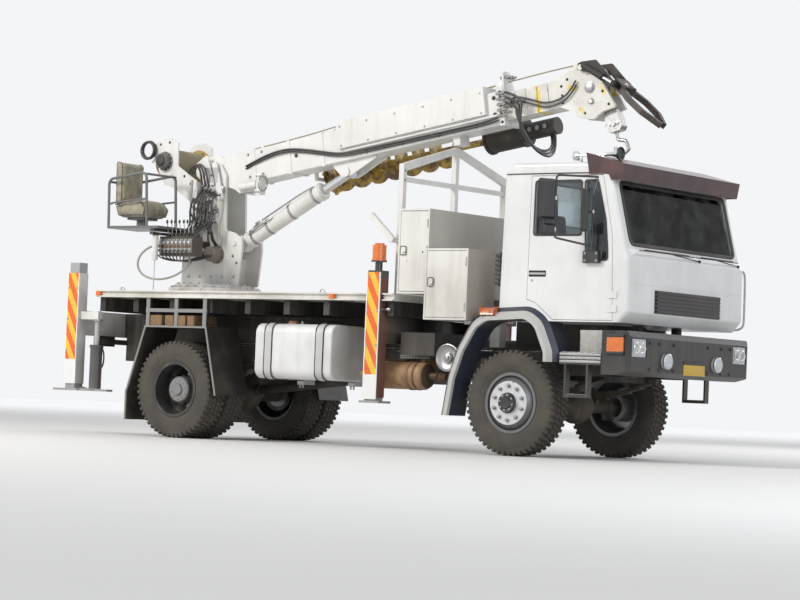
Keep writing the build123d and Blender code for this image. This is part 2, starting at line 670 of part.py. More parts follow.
dash_gap = cab_wall + seat_gap
with BuildPart() as cab_interior:
    for y in (-640, 640):
        block(200, 620, y - 200, y + 200, 1430, 1700)
        plate([(110, 1700), (110, 1830), (180, 1850), (640, 1850), (670, 1800), (650, 1700)], upright(y), 240,
              both=True, corner=20)
        plate([(60, 1820), (190, 1820), (120, 2500), (0, 2500)], upright(y), 240, both=True, corner=40)
        plate([(45, 2480), (100, 2480), (90, 2680), (20, 2680)], upright(y), 130, both=True, corner=20)
    plate([(1000, 1800), (nose_x(1800) - dash_gap, 1800), (nose_x(2000) - dash_gap, 2000), (1300, 2040),
           (1100, 2060), (1000, 1980)], upright(), 1080, both=True)
    rod((1080, -640, 2000), (880.3, -640, 2096.85), 30)
save(cab_interior, "cab_interior")

wheel_hub = Vector(at(880), -640, 2097)
wheel_axis = Vector(-0.9, 0, 0.436)
with BuildPart() as steering_wheel:
    with BuildSketch(Plane(origin=wheel_hub, x_dir=(0, 1, 0), z_dir=wheel_axis)) as rim_path:
        Circle(235)
        Circle(205, mode=Mode.SUBTRACT)
        Rectangle(420, 34)
        Circle(60)
    extrude(rim_path.sketch, amount=26)
save(steering_wheel, "steering_wheel")

stay = (665.0, 1420.0)      # upright of the mirror's stay
# middle x, y and z of each mirror head, then width, height, thickness and how far it turns outward
mirror_heads = [(620, 1500, 2587, 180, 400, 20, 30.0), (636, 1474, 2285, 140, 116, 20, 30.0),
                (905, 1250, 2490, 120, 430, 24, -33.0)]
for word, side in (("right", -1), ("left", 1)):
    outer = side * cab_half
    middle = side * (cab_half - cab_wall / 2)
    with BuildPart() as door:
        plate(door_outline, upright(middle), cab_wall / 2, both=True)
        for window in (main_window, quarter_window):
            plate(window, upright(middle), cab_wall, both=True, mode=Mode.SUBTRACT, corner=18)
        block(192, 400, outer, outer - side * 14, 1828, 1892, mode=Mode.SUBTRACT)
        for x in (215, 365):
            block(x, x + 20, outer - side * 14, outer + side * 8, 1852, 1868)
        block(205, 395, outer + side * 2, outer + side * 14, 1850, 1870)
        for z in hinge_z:
            block(door_hinge_x - 60, door_hinge_x, outer, outer + side * hinge_out, z, z + 70)
        for x, y, z, width, height, thick, turn in mirror_heads:
            facing = Vector(cos(radians(turn)), side * sin(radians(turn)), 0)
            with BuildSketch(Plane(origin=(at(x), side * y, z), x_dir=facing.cross(Vector(0, 0, 1)),
                                   z_dir=facing)) as shell:
                RectangleRounded(width, height, 28)
            extrude(shell.sketch, amount=-thick)
            extrude(shell.sketch, amount=thick + 8, taper=40)
        for z in (2600, 2285):
            rod((stay[0], side * stay[1], z), (mirror_heads[0][0], side * mirror_heads[0][1], z), 12)
            rod((stay[0], side * stay[1], z - 25), (stay[0], side * stay[1], z + 25), 20)
        rod((955, side * 1178, 2480), (905, side * 1250, 2480), 12)
        tube([Vector(at(985), outer - side * 10, 2832), Vector(at(stay[0]), side * stay[1], 2832),
              Vector(at(stay[0]), side * stay[1], 2205), Vector(at(955), side * 1172, 2135),
              Vector(at(955), side * 1172, 2060)], 11, 34)
        tube([Vector(at(985), outer - side * 10, 2826), Vector(at(958), side * 1180, 2640),
              Vector(at(955), side * 1176, 2060)], 10, 60)
        block(866, 1050, outer - side * 5, side * 1198, 1966, 2085)
    save(door, f"door_{word}")
    with BuildPart() as door_glass:
        for window in (main_window, quarter_window):
            plate(window, upright(middle), 3, both=True, corner=18)
    save(door_glass, f"door_glass_{word}")

# Wheels

for word, side in (("right", -1), ("left", 1)):
    centre = side * front_track_y
    with BuildPart() as knuckle:
        rod((0, side * king_pin_y, tyre_r - 150), (0, side * king_pin_y, tyre_r + 150), king_pin_r)
        ring([(side * (king_pin_y - 34), 0), (side * (king_pin_y - 34), 60), (side * (king_pin_y + 34), 60),
              (side * (king_pin_y + 34), spindle_r), (centre, spindle_r), (centre, 0)], 0, tyre_r)
    save(knuckle, f"knuckle_{word}")

    def profile(pairs, middle):
        """Radii at distances outboard of a wheel's middle plane."""
        return [(middle + side * out, radius) for out, radius in pairs]

    bore = spindle_r + running_gap
    with BuildPart() as front_rim:
        ring(profile([(-112, rim_r), (-112, 312), (-124, 312), (-124, 278), (40, 272), (80, 264), (120, 244),
                      (150, 215), (152, 150), (-120, 150), (-120, 110), (-100, 110), (-100, bore), (20, bore),
                      (20, 0), (215, 0), (215, 55), (205, 62), (205, 95), (185, 105), (164, 110), (164, 222),
                      (134, 254), (100, 275), (124, 282), (124, 312), (112, 312), (112, rim_r)], centre),
             0, tyre_r)
    save(front_rim, f"front_rim_{word}")

    tyre_section = [(-112, rim_r), (-112, 316), (-138, 360), (-147, 430), (-138, 500), (-112, 540),
                    (112, 540), (138, 500), (147, 430), (138, 360), (112, 316), (112, rim_r)]
    with BuildPart() as front_tyre:
        ring(profile(tyre_section, centre), 0, tyre_r)
    save(front_tyre, f"front_tyre_{word}")

    outer = side * rear_outer_y
    inner = side * (rear_outer_y - twin_gap)
    meet = side * (rear_outer_y - twin_gap / 2)
    with BuildPart() as rear_rims:
        ring([(outer + side * 112, rim_r), (outer + side * 112, 312), (outer + side * 124, 312),
              (outer + side * 124, 278), (outer - side * 90, 270), (meet + side * 14, 205),
              (meet + side * 14, 148), (outer + side * 40, 145), (outer + side * 54, 132),
              (outer + side * 60, 70), (outer + side * 80, 60), (outer + side * 80, 0),
              (outer - side * 55, 0), (outer - side * 55, bore), (inner - side * 60, bore),
              (inner - side * 60, 200), (inner + side * 60, 200), (inner + side * 80, 262),
              (inner - side * 124, 278), (inner - side * 124, 312), (inner - side * 112, 312),
              (inner - side * 112, rim_r), (inner + side * 112, rim_r), (inner + side * 112, 312),
              (inner + side * 124, 312), (inner + side * 124, 285), (meet, 285), (outer - side * 124, 285),
              (outer - side * 124, 312), (outer - side * 112, 312), (outer - side * 112, rim_r)],
             -wheelbase, tyre_r)
    save(rear_rims, f"rear_rims_{word}")
    with BuildPart() as rear_tyres:
        ring(profile(tyre_section, outer), -wheelbase, tyre_r)
        ring(profile(tyre_section, inner), -wheelbase, tyre_r)
    save(rear_tyres, f"rear_tyres_{word}")

# Turret

drum_x = -5555.0
drum_z = 3200.0
drum_shaft_r = 40.0
cheek_y = (162.0, 192.0)
winch_y = 300.0
turret_foot = slew_top + seat_gap
cheek = [(-5330, turret_foot + 40), (-4480, turret_foot + 40), (-4430, 2180), (-4440, 2300), (-4560, 2370),
         (-4690, 2400), (-4720, 3040), (-4800, 3160), (-4960, 3190), (-5060, 3080), (-5130, 2600), (-5330, 2100)]
winch_plate = [(-5737, 3401), (-5658, 3446), (-5480, 3469), (-5370, 3412), (-5362, 3143), (-5060, 2960),
               (-5110, 2700), (-5431, 2900), (-5556, 2925), (-5636, 3060), (-5676, 3149), (-5778, 3192),
               (-5735, 3231), (-5714, 3326)]
with BuildPart() as turret:
    with Locations((at(turret_x), 0, turret_foot + 20)):
        Cylinder(470, 40)
    for side in (-1, 1):
        plate(cheek, upright(side * sum(cheek_y) / 2), (cheek_y[1] - cheek_y[0]) / 2, both=True, corner=24)
    block(-5330, -5300, -cheek_y[0], cheek_y[0], turret_foot + 40, 2080)
    block(-4700, -4670, -cheek_y[0], cheek_y[0], turret_foot + 40, 2080)
    block(-5330, -4670, -cheek_y[0], cheek_y[0], 2050, 2080)
    block(-5140, -5110, -cheek_y[0], cheek_y[0], 2080, 2560)
    rod((pivot_x, -cheek_y[1] - 30, pivot_z), (pivot_x, cheek_y[1] + 30, pivot_z), 45)
    rod((pivot_x, -cheek_y[1] - 12, pivot_z), (pivot_x, -cheek_y[1], pivot_z), 80)
    rod((lift_foot[0], -cheek_y[1] - 20, lift_foot[1]), (lift_foot[0], cheek_y[1] + 20, lift_foot[1]), 35)
    for side in (-1, 1):
        plate(winch_plate, upright(side * winch_y), 10, both=True)
        block(-5120, -5060, side * cheek_y[1], side * winch_y, 2700, 2940)
    rod((drum_x, -winch_y, 2970), (drum_x, winch_y, 2970), 28)
    rod((drum_x, -winch_y - 30, drum_z), (drum_x, winch_y + 30, drum_z), drum_shaft_r)
    ring([(-winch_y - 10, 0), (-winch_y - 10, 112), (-winch_y - 26, 112), (-winch_y - 26, 92),
          (-winch_y - 84, 92), (-winch_y - 96, 78), (-winch_y - 96, 0)], drum_x, drum_z)
    ring([(-cheek_y[1], 0), (-cheek_y[1], 105), (-cheek_y[1] - 18, 105), (-cheek_y[1] - 18, 88),
          (-cheek_y[1] - 140, 88), (-cheek_y[1] - 150, 74), (-cheek_y[1] - 150, 0)], -4800, 2114)
    for z in (2290, 2330):
        block(-5120, -5060, -1010, -cheek_y[1], z, z + 30)
    rod((-5090, -940, 2000), (-5090, -940, 2310), 35)
    for top_x, top_z, low_x, low_z in ((-5014, 3248, -4880, 2930), (-4870, 3178, -4745, 2760)):
        bar((top_x, -cheek_y[1] - 35, top_z), (low_x, -cheek_y[1] - 35, low_z), 24, 70)
        block(low_x - 20, low_x + 20, -cheek_y[1], -cheek_y[1] - 47, low_z - 10, low_z + 40)
save(turret, "turret")

with BuildPart() as winch_drum:
    bore = drum_shaft_r + running_gap
    ring([(-285, bore), (-285, 178), (-278, 185), (-265, 185), (-262, 120), (262, 120), (265, 185),
          (278, 185), (285, 178), (285, bore)], drum_x, drum_z)
save(winch_drum, "winch_drum")

seat_y = -750.0
with BuildPart() as operator_platform:
    block(-5780, -5000, seat_y - 260, seat_y + 260, 2360, 2390)
    for y in (seat_y - 250, seat_y + 250):
        tube([Vector(at(x), y, z) for x, z in ((-5770, 2380), (-5790, 2930), (-5217, 3007), (-5180, 2380))],
             16, 70)
        tube([Vector(at(x), y, z) for x, z in ((-5775, 2640), (-5700, 2660), (-5196, 2700))], 12, 40)
    rod((-5782, seat_y - 250, 2900), (-5782, seat_y + 250, 2900), 14)
    rod((-5215, seat_y - 250, 2985), (-5215, seat_y + 250, 2985), 14)
    rod((-5480, seat_y, 2390), (-5480, seat_y, 2470), 60)
    block(-5600, -5350, seat_y - 120, seat_y + 120, 2470, 2500)
save(operator_platform, "operator_platform")

with BuildPart() as operator_seat:
    plate([(-5741, 2626), (-5549, 2690), (-5317, 2690), (-5232, 2600), (-5271, 2500), (-5690, 2500)],
          upright(seat_y), 225, both=True, corner=24)
    plate([(-5750, 2600), (-5640, 2650), (-5650, 3130), (-5690, 3165), (-5745, 3165), (-5765, 3120)],
          upright(seat_y), 210, both=True, corner=18)
save(operator_seat, "operator_seat")

valve_x = (-5130.0, -4620.0)
with BuildPart() as valve_bank:
    block(*valve_x, -820, -660, 2060, 2280)
    for count in range(8):
        x = valve_x[0] + 14 + count * 62
        block(x, x + 48, -845, -680, 2090, 2250)
        if count:
            rod((x + 24, -790, 2280), (x + 24, -790, 2318), 20)
        rod((x + 24, -845, 2120), (x + 24, -866, 2120), 16)
        rod((x + 24, -845, 2210), (x + 24, -866, 2210), 16)
    block(-5020, -4920, -660, -cheek_y[1], 2200, 2260)
save(valve_bank, "valve_bank")

# Boom

cover_v = (-26.0, 282.0)
cover_u = (1830.0, 3850.0)
with BuildPart() as boom:
    boom_box(400, boom_mouth_u, -boom_half, boom_half, boom_low, boom_high, corner=14)
    boom_plate([(boom_root_u, 60), (boom_root_u, 190), (-180, 247), (400, boom_high), (400, boom_low),
                (331, -264), (250, -200), (100, -130), (-183, -72)], 0, boom_half, both=True)
    boom_box(boom_mouth_u - 60, boom_mouth_u, -boom_half - 12, boom_half + 12, boom_low - 12, boom_high + 12)
    for u in (560, 1080, 1560):
        boom_box(u, u + 40, -boom_half - 8, boom_half + 8, boom_low - 8, boom_high + 8)
    boom_box(1100, 3950, -inner_half - pad, inner_half + pad, inner_low - pad, inner_high + pad,
             mode=Mode.SUBTRACT)
    boom_box(3950, boom_mouth_u + 20, -inner_half - seat_gap, inner_half + seat_gap, inner_low - seat_gap,
             inner_high + seat_gap, mode=Mode.SUBTRACT)
    boom_plate([(cover_u[0], cover_v[0]), (cover_u[0], cover_v[1] - 30), (cover_u[0] + 90, cover_v[1]),
                (cover_u[1], cover_v[1]), (cover_u[1], cover_v[0])], 0, boom_half + 45, both=True)
    boom_box(cover_u[0] - 5, cover_u[1] + 5, -inner_half - pad, inner_half + pad, inner_low - pad,
             boom_high, mode=Mode.SUBTRACT)
    boom_box(cover_u[0], cover_u[1], -boom_half, boom_half, inner_high + pad, boom_high)
    boom_round(1900, boom_mouth_u - 60, -60, -boom_half - 10, 14)
    for side in (-1, 1):
        boom_plate([(1650, boom_low), (1780, -330), (1900, -330), (2350, boom_low)], side * 85, 12, both=True,
                   corner=14)
        boom_pin(*lift_eye, side * 97, side * 118, 60)
    boom_pin(0, 0, -boom_half - 5, boom_half + 5, 45 + running_gap, mode=Mode.SUBTRACT)
    boom_box(3330, 3420, -90, 90, -262, boom_low)
    boom_box(1205, 1240, boom_half, auger_y + 40, auger_v - 75, auger_v - 38 - seat_gap)
    boom_box(1205, 1240, boom_half, boom_half + 30, auger_v - 75, -60)
save(boom, "boom")

with BuildPart() as inner_boom:
    boom_box(inner_root_u, 4930, -inner_half, inner_half, inner_low, inner_high)
    loose = pad - seat_gap
    boom_box(inner_root_u, inner_root_u + 70, -inner_half - loose, inner_half + loose, inner_low - loose,
             inner_high + loose)
    boom_box(inner_root_u - 5, 4700, -inner_half + 12, inner_half - 12, inner_low + 12, inner_high - 12,
             mode=Mode.SUBTRACT)
    for u in (4190, 4330, 4470, 4610):
        boom_box(u, u + 16, -inner_half - 14, inner_half + 14, inner_low + 10, inner_high - 10)
    head = [(4750, 160), (4760, 190), (4918, 248), (5003, 307), (5082, 311), (5218, 234), (5440, -245),
            (5272, -264), (5154, -323), (4969, -273), (4911, -194), (4750, -110)]
    for side in (-1, 1):
        boom_plate(head, side * 104, 20, both=True, corner=22)
    boom_wheel([(-78, 0), (-78, sheave_r + 26), (-66, sheave_r + 26), (-14, sheave_r), (14, sheave_r),
                (66, sheave_r + 26), (78, sheave_r + 26), (78, 0)], *sheave_uv)
    boom_pin(*sheave_uv, -142, 142, 45)
    boom_pin(5153, -132, -140, 140, 22)
    boom_pin(*claw_pivot, -180, 180, 30)
    boom_wheel([(-30, 0), (-30, 84), (-22, 84), (-6, 66), (6, 66), (22, 84), (30, 84), (30, 0)], *claw_pivot)
save(inner_boom, "inner_boom")

with BuildPart() as hook_block:
    boom_plate([(5250, -262), (5400, -247), (5450, -440), (5420, -480), (5290, -490), (5250, -460)], 0, 58,
               both=True, corner=20)
    boom_round(5300, 5420, -400, 0, 64)
    boom_pin(5350, -400, -72, 72, 30)
    tube([on_boom(u, v) for u, v in ((5352, -470), (5354, -570), (5452, -596), (5478, -690), (5395, -735),
                                     (5322, -705), (5316, -640))], 20, 30)
    rope_u = sheave_uv[0] + sheave_r + rope_r + seat_gap
    boom_plate([(rope_u - rope_r, sheave_uv[1]), (rope_u + rope_r, sheave_uv[1]), (rope_u + rope_r, -260),
                (rope_u - rope_r, -260)], 0, rope_r, both=True)
save(hook_block, "hook_block")

claw_dir = boom_dir * cos(radians(claw_droop)) + boom_up * sin(radians(claw_droop))
claw_normal = claw_dir.cross(Vector(0, 1, 0))
claw_hinge = on_boom(5500, -50)


def on_claw(rise=0.0):
    """Plane of the claw's arms, drawn along the claw and in Y, raised along its normal."""
    return Plane(origin=claw_hinge + claw_normal * rise, x_dir=claw_dir, z_dir=claw_normal)


def claw_block(middle, length, width, low, high):
    """Plate across the claw between two heights above the arms' plane."""
    with BuildSketch(on_claw(low)) as outline:
        with Locations((middle, 0)):
            Rectangle(length, width)
    extrude(outline.sketch, amount=high - low)


with BuildPart() as claw_frame:
    for side in (-1, 1):
        boom_plate([(5040, 225), (5060, 290), (5110, 300), (5281, 285), (5470, 20), (5400, -40), (5260, 160),
                    (5120, 190)], side * 160, 12, both=True, corner=12)
    claw_block(-80, 50, 320, -44, 16)
    claw_block(-20, 160, 220, -50, -32)
    claw_block(-20, 160, 220, 32, 50)
    claw_block(-85, 30, 220, -50, 50)
    with BuildSketch(on_claw(-56)) as pins:
        with Locations((arm_pin[0], arm_pin[1]), (arm_pin[0], -arm_pin[1])):
            Circle(arm_pin_r)
    extrude(pins.sketch, amount=112)
    boom_pin(*claw_pivot, -180, 180, 30 + running_gap, mode=Mode.SUBTRACT)
save(claw_frame, "claw_frame")

for word, side in (("right", -1), ("left", 1)):
    with BuildPart() as claw_arm:
        with BuildSketch(on_claw()) as arm:
            with BuildLine():
                FilletPolyline((20, side * 30), (0, side * 90), (60, side * 140), (200, side * 200),
                               (420, side * 190), (640, side * 40), (600, side * 20), (400, side * 140),
                               (220, side * 150), (60, side * 70), close=True, radius=10)
            make_face()
            with Locations((arm_pin[0], side * arm_pin[1])):
                Circle(36)
                Circle(arm_pin_r + running_gap, mode=Mode.SUBTRACT)
        extrude(arm.sketch, amount=30, both=True)
    save(claw_arm, f"claw_arm_{word}")

# Lift cylinder

foot = Vector(at(lift_foot[0]), 0, lift_foot[1])
eye = on_boom(*lift_eye)
lift_dir = (eye - foot).normalized()
lift_length = (eye - foot).length


def lift_round(start, end, radius, mode=Mode.ADD):
    """Round length of the lift cylinder between distances from its foot pin."""
    with BuildSketch(Plane(origin=foot + lift_dir * start, x_dir=(0, 1, 0), z_dir=lift_dir)) as section:
        Circle(radius)
    extrude(section.sketch, amount=end - start, mode=mode)


def cross_pin(middle, half, radius, mode=Mode.ADD):
    """Cross pin or eye of the lift cylinder."""
    with BuildSketch(Plane(origin=middle - Vector(0, half, 0), z_dir=(0, 1, 0))) as section:
        Circle(radius)
    extrude(section.sketch, amount=2 * half, mode=mode)


rod_r = 50.0
with BuildPart() as lift_barrel:
    lift_round(90, 1290, 92)
    lift_round(90, 130, 102)
    lift_round(1225, 1275, 104)
    lift_round(160, 1300, rod_r + running_gap, mode=Mode.SUBTRACT)
    cross_pin(foot, 60, 95)
    cross_pin(foot, 70, 35 + running_gap, mode=Mode.SUBTRACT)
save(lift_barrel, "lift_barrel")

with BuildPart() as lift_rod:
    lift_round(300, lift_length - 50, rod_r)
    cross_pin(eye, 55, 62)
save(lift_rod, "lift_rod")

# Auger

flight_r = 200.0
flight_pitch = 240.0
shaft_r = 38.0
auger_u = (1250.0, 2930.0)
drive_u = boom_mouth_u - 620
with BuildPart() as auger:
    boom_round(auger_u[0] - 50, drive_u - seat_gap, auger_v, auger_y, shaft_r)
    mid_r = (shaft_r - 6 + flight_r) / 2
    start = on_boom(auger_u[0] + 14, auger_v, auger_y)
    helix = Helix(pitch=flight_pitch, height=auger_u[1] - auger_u[0] - 14, radius=mid_r, center=start,
                  direction=boom_dir)
    first = helix @ 0
    with BuildSketch(Plane(origin=first, x_dir=(first - start).normalized(), z_dir=helix % 0)) as blade:
        Rectangle(flight_r - shaft_r + 6, 12)
    sweep(blade.sketch, path=helix, is_frenet=True)
    boom_round(auger_u[0], auger_u[0] + 16, auger_v, auger_y, flight_r)
    with BuildSketch(boom_section(auger_u[0], auger_v, auger_y)) as teeth:
        with PolarLocations(flight_r, 8):
            Rectangle(44, 30)
    extrude(teeth.sketch, amount=34)
save(auger, "auger")

with BuildPart() as auger_drive:
    boom_round(drive_u, drive_u + 30, auger_v, auger_y, 162)
    boom_round(drive_u, drive_u + 500, auger_v, auger_y, 148)
    boom_round(drive_u + 460, drive_u + 500, auger_v, auger_y, 160)
    boom_round(drive_u + 500, drive_u + 900, auger_v, auger_y, 95)
    boom_box(drive_u + 110, drive_u + 310, boom_half, auger_y - 100, -160, -60)
save(auger_drive, "auger_drive")

# Hose loop beside the valve bank

loop_y = -740.0
loop_r = 12.0
route = [(-5130, loop_y, 2190), (-5310, loop_y, 2190), (-5490, loop_y - 15, 2080), (-5520, loop_y - 25, 1930),
         (-5400, loop_y - 20, 1820), (-5200, loop_y - 10, 1785), (-5000, loop_y, 1815), (-4830, loop_y, 1890),
         (-4735, loop_y, 1960), (-4735, loop_y, 2060)]
points = [Vector(at(x), y, z) for x, y, z in route]
radii = []
for before, corner, after in zip(points, points[1:], points[2:]):
    turn = (corner - before).get_angle(after - corner)
    shorter = min((corner - before).length, (after - corner).length)
    radii.append(0.45 * shorter / (sin(radians(turn / 2)) / cos(radians(turn / 2))))
with BuildPart() as hose_loop:
    tube(points, loop_r, radii)
save(hose_loop, "hose_loop")
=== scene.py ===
"""Looks of the digger derrick truck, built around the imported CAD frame. Metres."""
import math
import random

import bpy
import bmesh
from mathutils import Matrix, Vector
from mathutils.bvhtree import BVHTree


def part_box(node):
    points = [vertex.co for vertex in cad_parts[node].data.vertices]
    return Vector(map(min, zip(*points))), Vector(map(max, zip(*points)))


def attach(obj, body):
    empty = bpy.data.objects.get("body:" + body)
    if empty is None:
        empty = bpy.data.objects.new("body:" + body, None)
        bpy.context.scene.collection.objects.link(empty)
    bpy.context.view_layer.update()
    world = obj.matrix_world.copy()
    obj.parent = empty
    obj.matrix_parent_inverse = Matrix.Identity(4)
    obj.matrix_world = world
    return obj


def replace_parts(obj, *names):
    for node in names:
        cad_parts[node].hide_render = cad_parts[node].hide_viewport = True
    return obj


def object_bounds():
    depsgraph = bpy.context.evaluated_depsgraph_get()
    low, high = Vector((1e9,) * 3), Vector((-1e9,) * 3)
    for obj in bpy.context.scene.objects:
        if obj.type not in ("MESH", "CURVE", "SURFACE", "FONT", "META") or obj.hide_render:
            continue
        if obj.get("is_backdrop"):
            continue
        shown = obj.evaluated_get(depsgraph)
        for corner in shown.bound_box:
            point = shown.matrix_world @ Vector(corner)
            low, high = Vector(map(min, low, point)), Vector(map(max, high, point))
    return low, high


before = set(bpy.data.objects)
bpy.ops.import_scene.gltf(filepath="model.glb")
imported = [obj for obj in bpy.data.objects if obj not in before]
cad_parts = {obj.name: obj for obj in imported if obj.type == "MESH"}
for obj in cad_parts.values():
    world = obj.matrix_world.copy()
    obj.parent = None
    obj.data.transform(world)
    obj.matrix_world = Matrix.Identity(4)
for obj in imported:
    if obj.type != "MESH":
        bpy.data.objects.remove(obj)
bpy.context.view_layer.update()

# +X is forward, +Y the truck's left, +Z up. The front axle is this far ahead of the origin, and
# lengths named x below are measured ahead of that axle.
FRONT_AXLE = 2.415
WHEELBASE = 4.5
AXLE_Z = 0.54
BOOM_RISE = math.radians(9.3)
PIVOT = Vector((FRONT_AXLE - 4.9, 0, 3.03))
ALONG = Vector((math.cos(BOOM_RISE), 0, math.sin(BOOM_RISE)))
ABOVE = Vector((-math.sin(BOOM_RISE), 0, math.cos(BOOM_RISE)))
SIDES = (("right", -1), ("left", 1))
X, Y, Z = Vector((1, 0, 0)), Vector((0, 1, 0)), Vector((0, 0, 1))


def at(x, y, z):
    """Point from x ahead of the front axle."""
    return Vector((FRONT_AXLE + x, y, z))


def path(*points):
    return [at(*point) for point in points]


def on_boom(u, v, y=0.0):
    """Point at u along and v above the boom's pivot line."""
    return PIVOT + ALONG * u + ABOVE * v + Vector((0, y, 0))


def boom_path(*points):
    return [on_boom(*point) for point in points]


# Camera, at the photograph's angle

PICTURE_WIDTH, LENS_PX = 800, 2679.4    # both in pixels
SENSOR_WIDTH = 36
CAM_X, CAM_Y, CAM_Z = 15.413, -23.687, 0.504
AZIMUTH, PITCH, ROLL = 0.64155, -0.03798, 0.04187
back = Vector((math.sin(AZIMUTH) * math.cos(PITCH), -math.cos(AZIMUTH) * math.cos(PITCH), math.sin(PITCH)))
right = (-back).cross(Z).normalized()
up = right.cross(-back)
rolled_right = right * math.cos(ROLL) + up * math.sin(ROLL)
rolled_up = up * math.cos(ROLL) - right * math.sin(ROLL)
camera = bpy.data.objects.new("camera", bpy.data.cameras.new("camera"))
bpy.context.scene.collection.objects.link(camera)
camera.matrix_world = Matrix.Translation(at(CAM_X, CAM_Y, CAM_Z)) @ Matrix(
    (rolled_right, rolled_up, back)).transposed().to_4x4()
camera.data.sensor_width = SENSOR_WIDTH
camera.data.lens = LENS_PX * SENSOR_WIDTH / PICTURE_WIDTH
camera.data.clip_end = 200
bpy.context.scene.camera = camera


# Materials

DUST = (0.3, 0.25, 0.19, 1)
RUST = (0.23, 0.09, 0.035, 1)
WHITE = (0.8, 0.81, 0.81, 1)
WORN = (0.78, 0.78, 0.76, 1)
GREY = (0.36, 0.37, 0.38, 1)
INK = (0.02, 0.02, 0.022, 1)
SILVER = (0.46, 0.46, 0.46, 1)
# red darkened to near maroon: painted shade on red faces
SHADED_RED = (0.13, 0.018, 0.012, 1)


class Nodes:
    """A node material being built, in the object's own coordinates."""

    def __init__(self, name):
        self.mat = bpy.data.materials.new(name)
        self.mat.use_nodes = True
        self.tree = self.mat.node_tree
        self.shader = self.tree.nodes["Principled BSDF"]
        self.coord = self.tree.nodes.new("ShaderNodeTexCoord").outputs["Object"]

    def new(self, kind, **values):
        node = self.tree.nodes.new("ShaderNode" + kind)
        for key, value in values.items():
            setattr(node, key, value)
        return node

    def put(self, socket, value):
        if isinstance(value, bpy.types.NodeSocket):
            self.tree.links.new(value, socket)
        else:
            socket.default_value = value

    def math(self, operation, a, b=0.0):
        node = self.new("Math", operation=operation)
        self.put(node.inputs[0], a)
        self.put(node.inputs[1], b)
        return node.outputs[0]

    def times(self, a, b):
        return self.math("MULTIPLY", a, b)

    def plus(self, a, b):
        return self.math("ADD", a, b)

    def minus(self, a, b):
        return self.math("SUBTRACT", a, b)

    def noise(self, scale, detail=4.0, rough=0.55, vector=None, distortion=0.0):
        node = self.new("TexNoise")
        node.inputs["Scale"].default_value = scale
        node.inputs["Detail"].default_value = detail
        node.inputs["Roughness"].default_value = rough
        node.inputs["Distortion"].default_value = distortion
        self.put(node.inputs["Vector"], vector or self.coord)
        return node.outputs["Fac"]

    def stretch(self, x, y, z):
        node = self.new("Mapping")
        node.inputs["Scale"].default_value = (x, y, z)
        self.put(node.inputs["Vector"], self.coord)
        return node.outputs[0]

    def ramp(self, value, low, high):
        """0 below low, 1 above high."""
        node = self.new("MapRange", interpolation_type="SMOOTHSTEP")
        self.put(node.inputs["Value"], value)
        node.inputs["From Min"].default_value = low
        node.inputs["From Max"].default_value = high
        return node.outputs[0]

    def mix(self, fac, a, b):
        node = self.new("Mix", data_type="RGBA")
        self.put(node.inputs[0], fac)
        self.put(node.inputs[6], a)
        self.put(node.inputs[7], b)
        return node.outputs[2]

    def spread(self, base, pattern, low, high, amount, colour=DUST):
        """Lays a colour over the base where a pattern is high."""
        return self.mix(self.times(self.ramp(pattern, low, high), amount), base, colour)

    def axis(self, name, vector=None):
        node = self.new("SeparateXYZ")
        self.put(node.inputs[0], vector or self.coord)
        return node.outputs[name]

    def inside(self, **limits):
        """1 between limits: x is ahead of the front axle and w is out from the truck's middle."""
        found = None
        for key, (low, high) in limits.items():
            value = self.axis("Y" if key == "w" else key.upper())
            if key == "w":
                value = self.math("ABSOLUTE", value)
            shift = FRONT_AXLE if key == "x" else 0
            part = self.times(self.math("GREATER_THAN", value, low + shift),
                              self.math("LESS_THAN", value, high + shift))
            found = part if found is None else self.times(found, part)
        return found

    def bump(self, height, strength, distance=0.002):
        node = self.new("Bump")
        node.inputs["Strength"].default_value = strength
        node.inputs["Distance"].default_value = distance
        self.put(node.inputs["Height"], height)
        self.put(self.shader.inputs["Normal"], node.outputs[0])

    def finish(self, colour=None, rough=None, metal=None, coat=None, bump=None):
        if colour is not None:
            self.put(self.shader.inputs["Base Color"], colour)
        if rough is not None:
            self.put(self.shader.inputs["Roughness"], rough)
        if metal is not None:
            self.shader.inputs["Metallic"].default_value = metal
        if coat is not None:
            self.shader.inputs["Coat Weight"].default_value = coat
            self.shader.inputs["Coat Roughness"].default_value = 0.12
        if bump is not None:
            self.bump(*bump)
        return self.mat


def painted(name, colour, rough=0.32, dirt=0.35, rust=0.0, low=0.3, high=1.7, coat=0.25, places=()):
    """Gloss paint with faint clouding, dust that gathers low down, thin streaks and rusty chips. places
    are limits of other colours, and those colours."""
    n = Nodes(name)
    cloud = n.noise(1.7, 5)
    streak = n.noise(1.0, 6, 0.6, n.stretch(9, 9, 0.8))
    height = n.ramp(n.axis("Z"), high, low)
    film = n.times(n.ramp(streak, 0.42, 0.78), 0.45)
    film = n.plus(film, n.times(height, n.ramp(cloud, 0.25, 0.75)))
    film = n.times(film, dirt)
    shade = tuple(c * 0.86 for c in colour[:3]) + (1,)
    base = n.mix(n.ramp(cloud, 0.3, 0.8), colour, shade)
    for limits, other in places:
        base = n.mix(n.inside(**limits), base, other)
    base = n.mix(film, base, DUST)
    if rust:
        chips = n.noise(26, 6, 0.7)
        spots = n.times(n.ramp(chips, 0.7 - 0.05 * rust, 0.74 - 0.05 * rust),
                       n.ramp(n.noise(3.1, 3), 0.46, 0.6))
        run = n.noise(1.0, 5, 0.65, n.stretch(22, 22, 1.3))
        runs = n.times(n.ramp(run, 0.66 - 0.04 * rust, 0.8), 0.55 * min(rust, 1.4))
        base = n.mix(n.math("MAXIMUM", spots, runs), base, RUST)
    roughness = n.plus(rough, n.times(film, 0.5))
    grain = n.noise(340, 2)
    return n.finish(base, roughness, coat=coat, bump=(grain, 0.05, 0.001))


def worn_paint(name, places=()):
    return painted(name, WORN, 0.38, 0.4, rust=0.9, low=1.2, high=3.0, places=places)


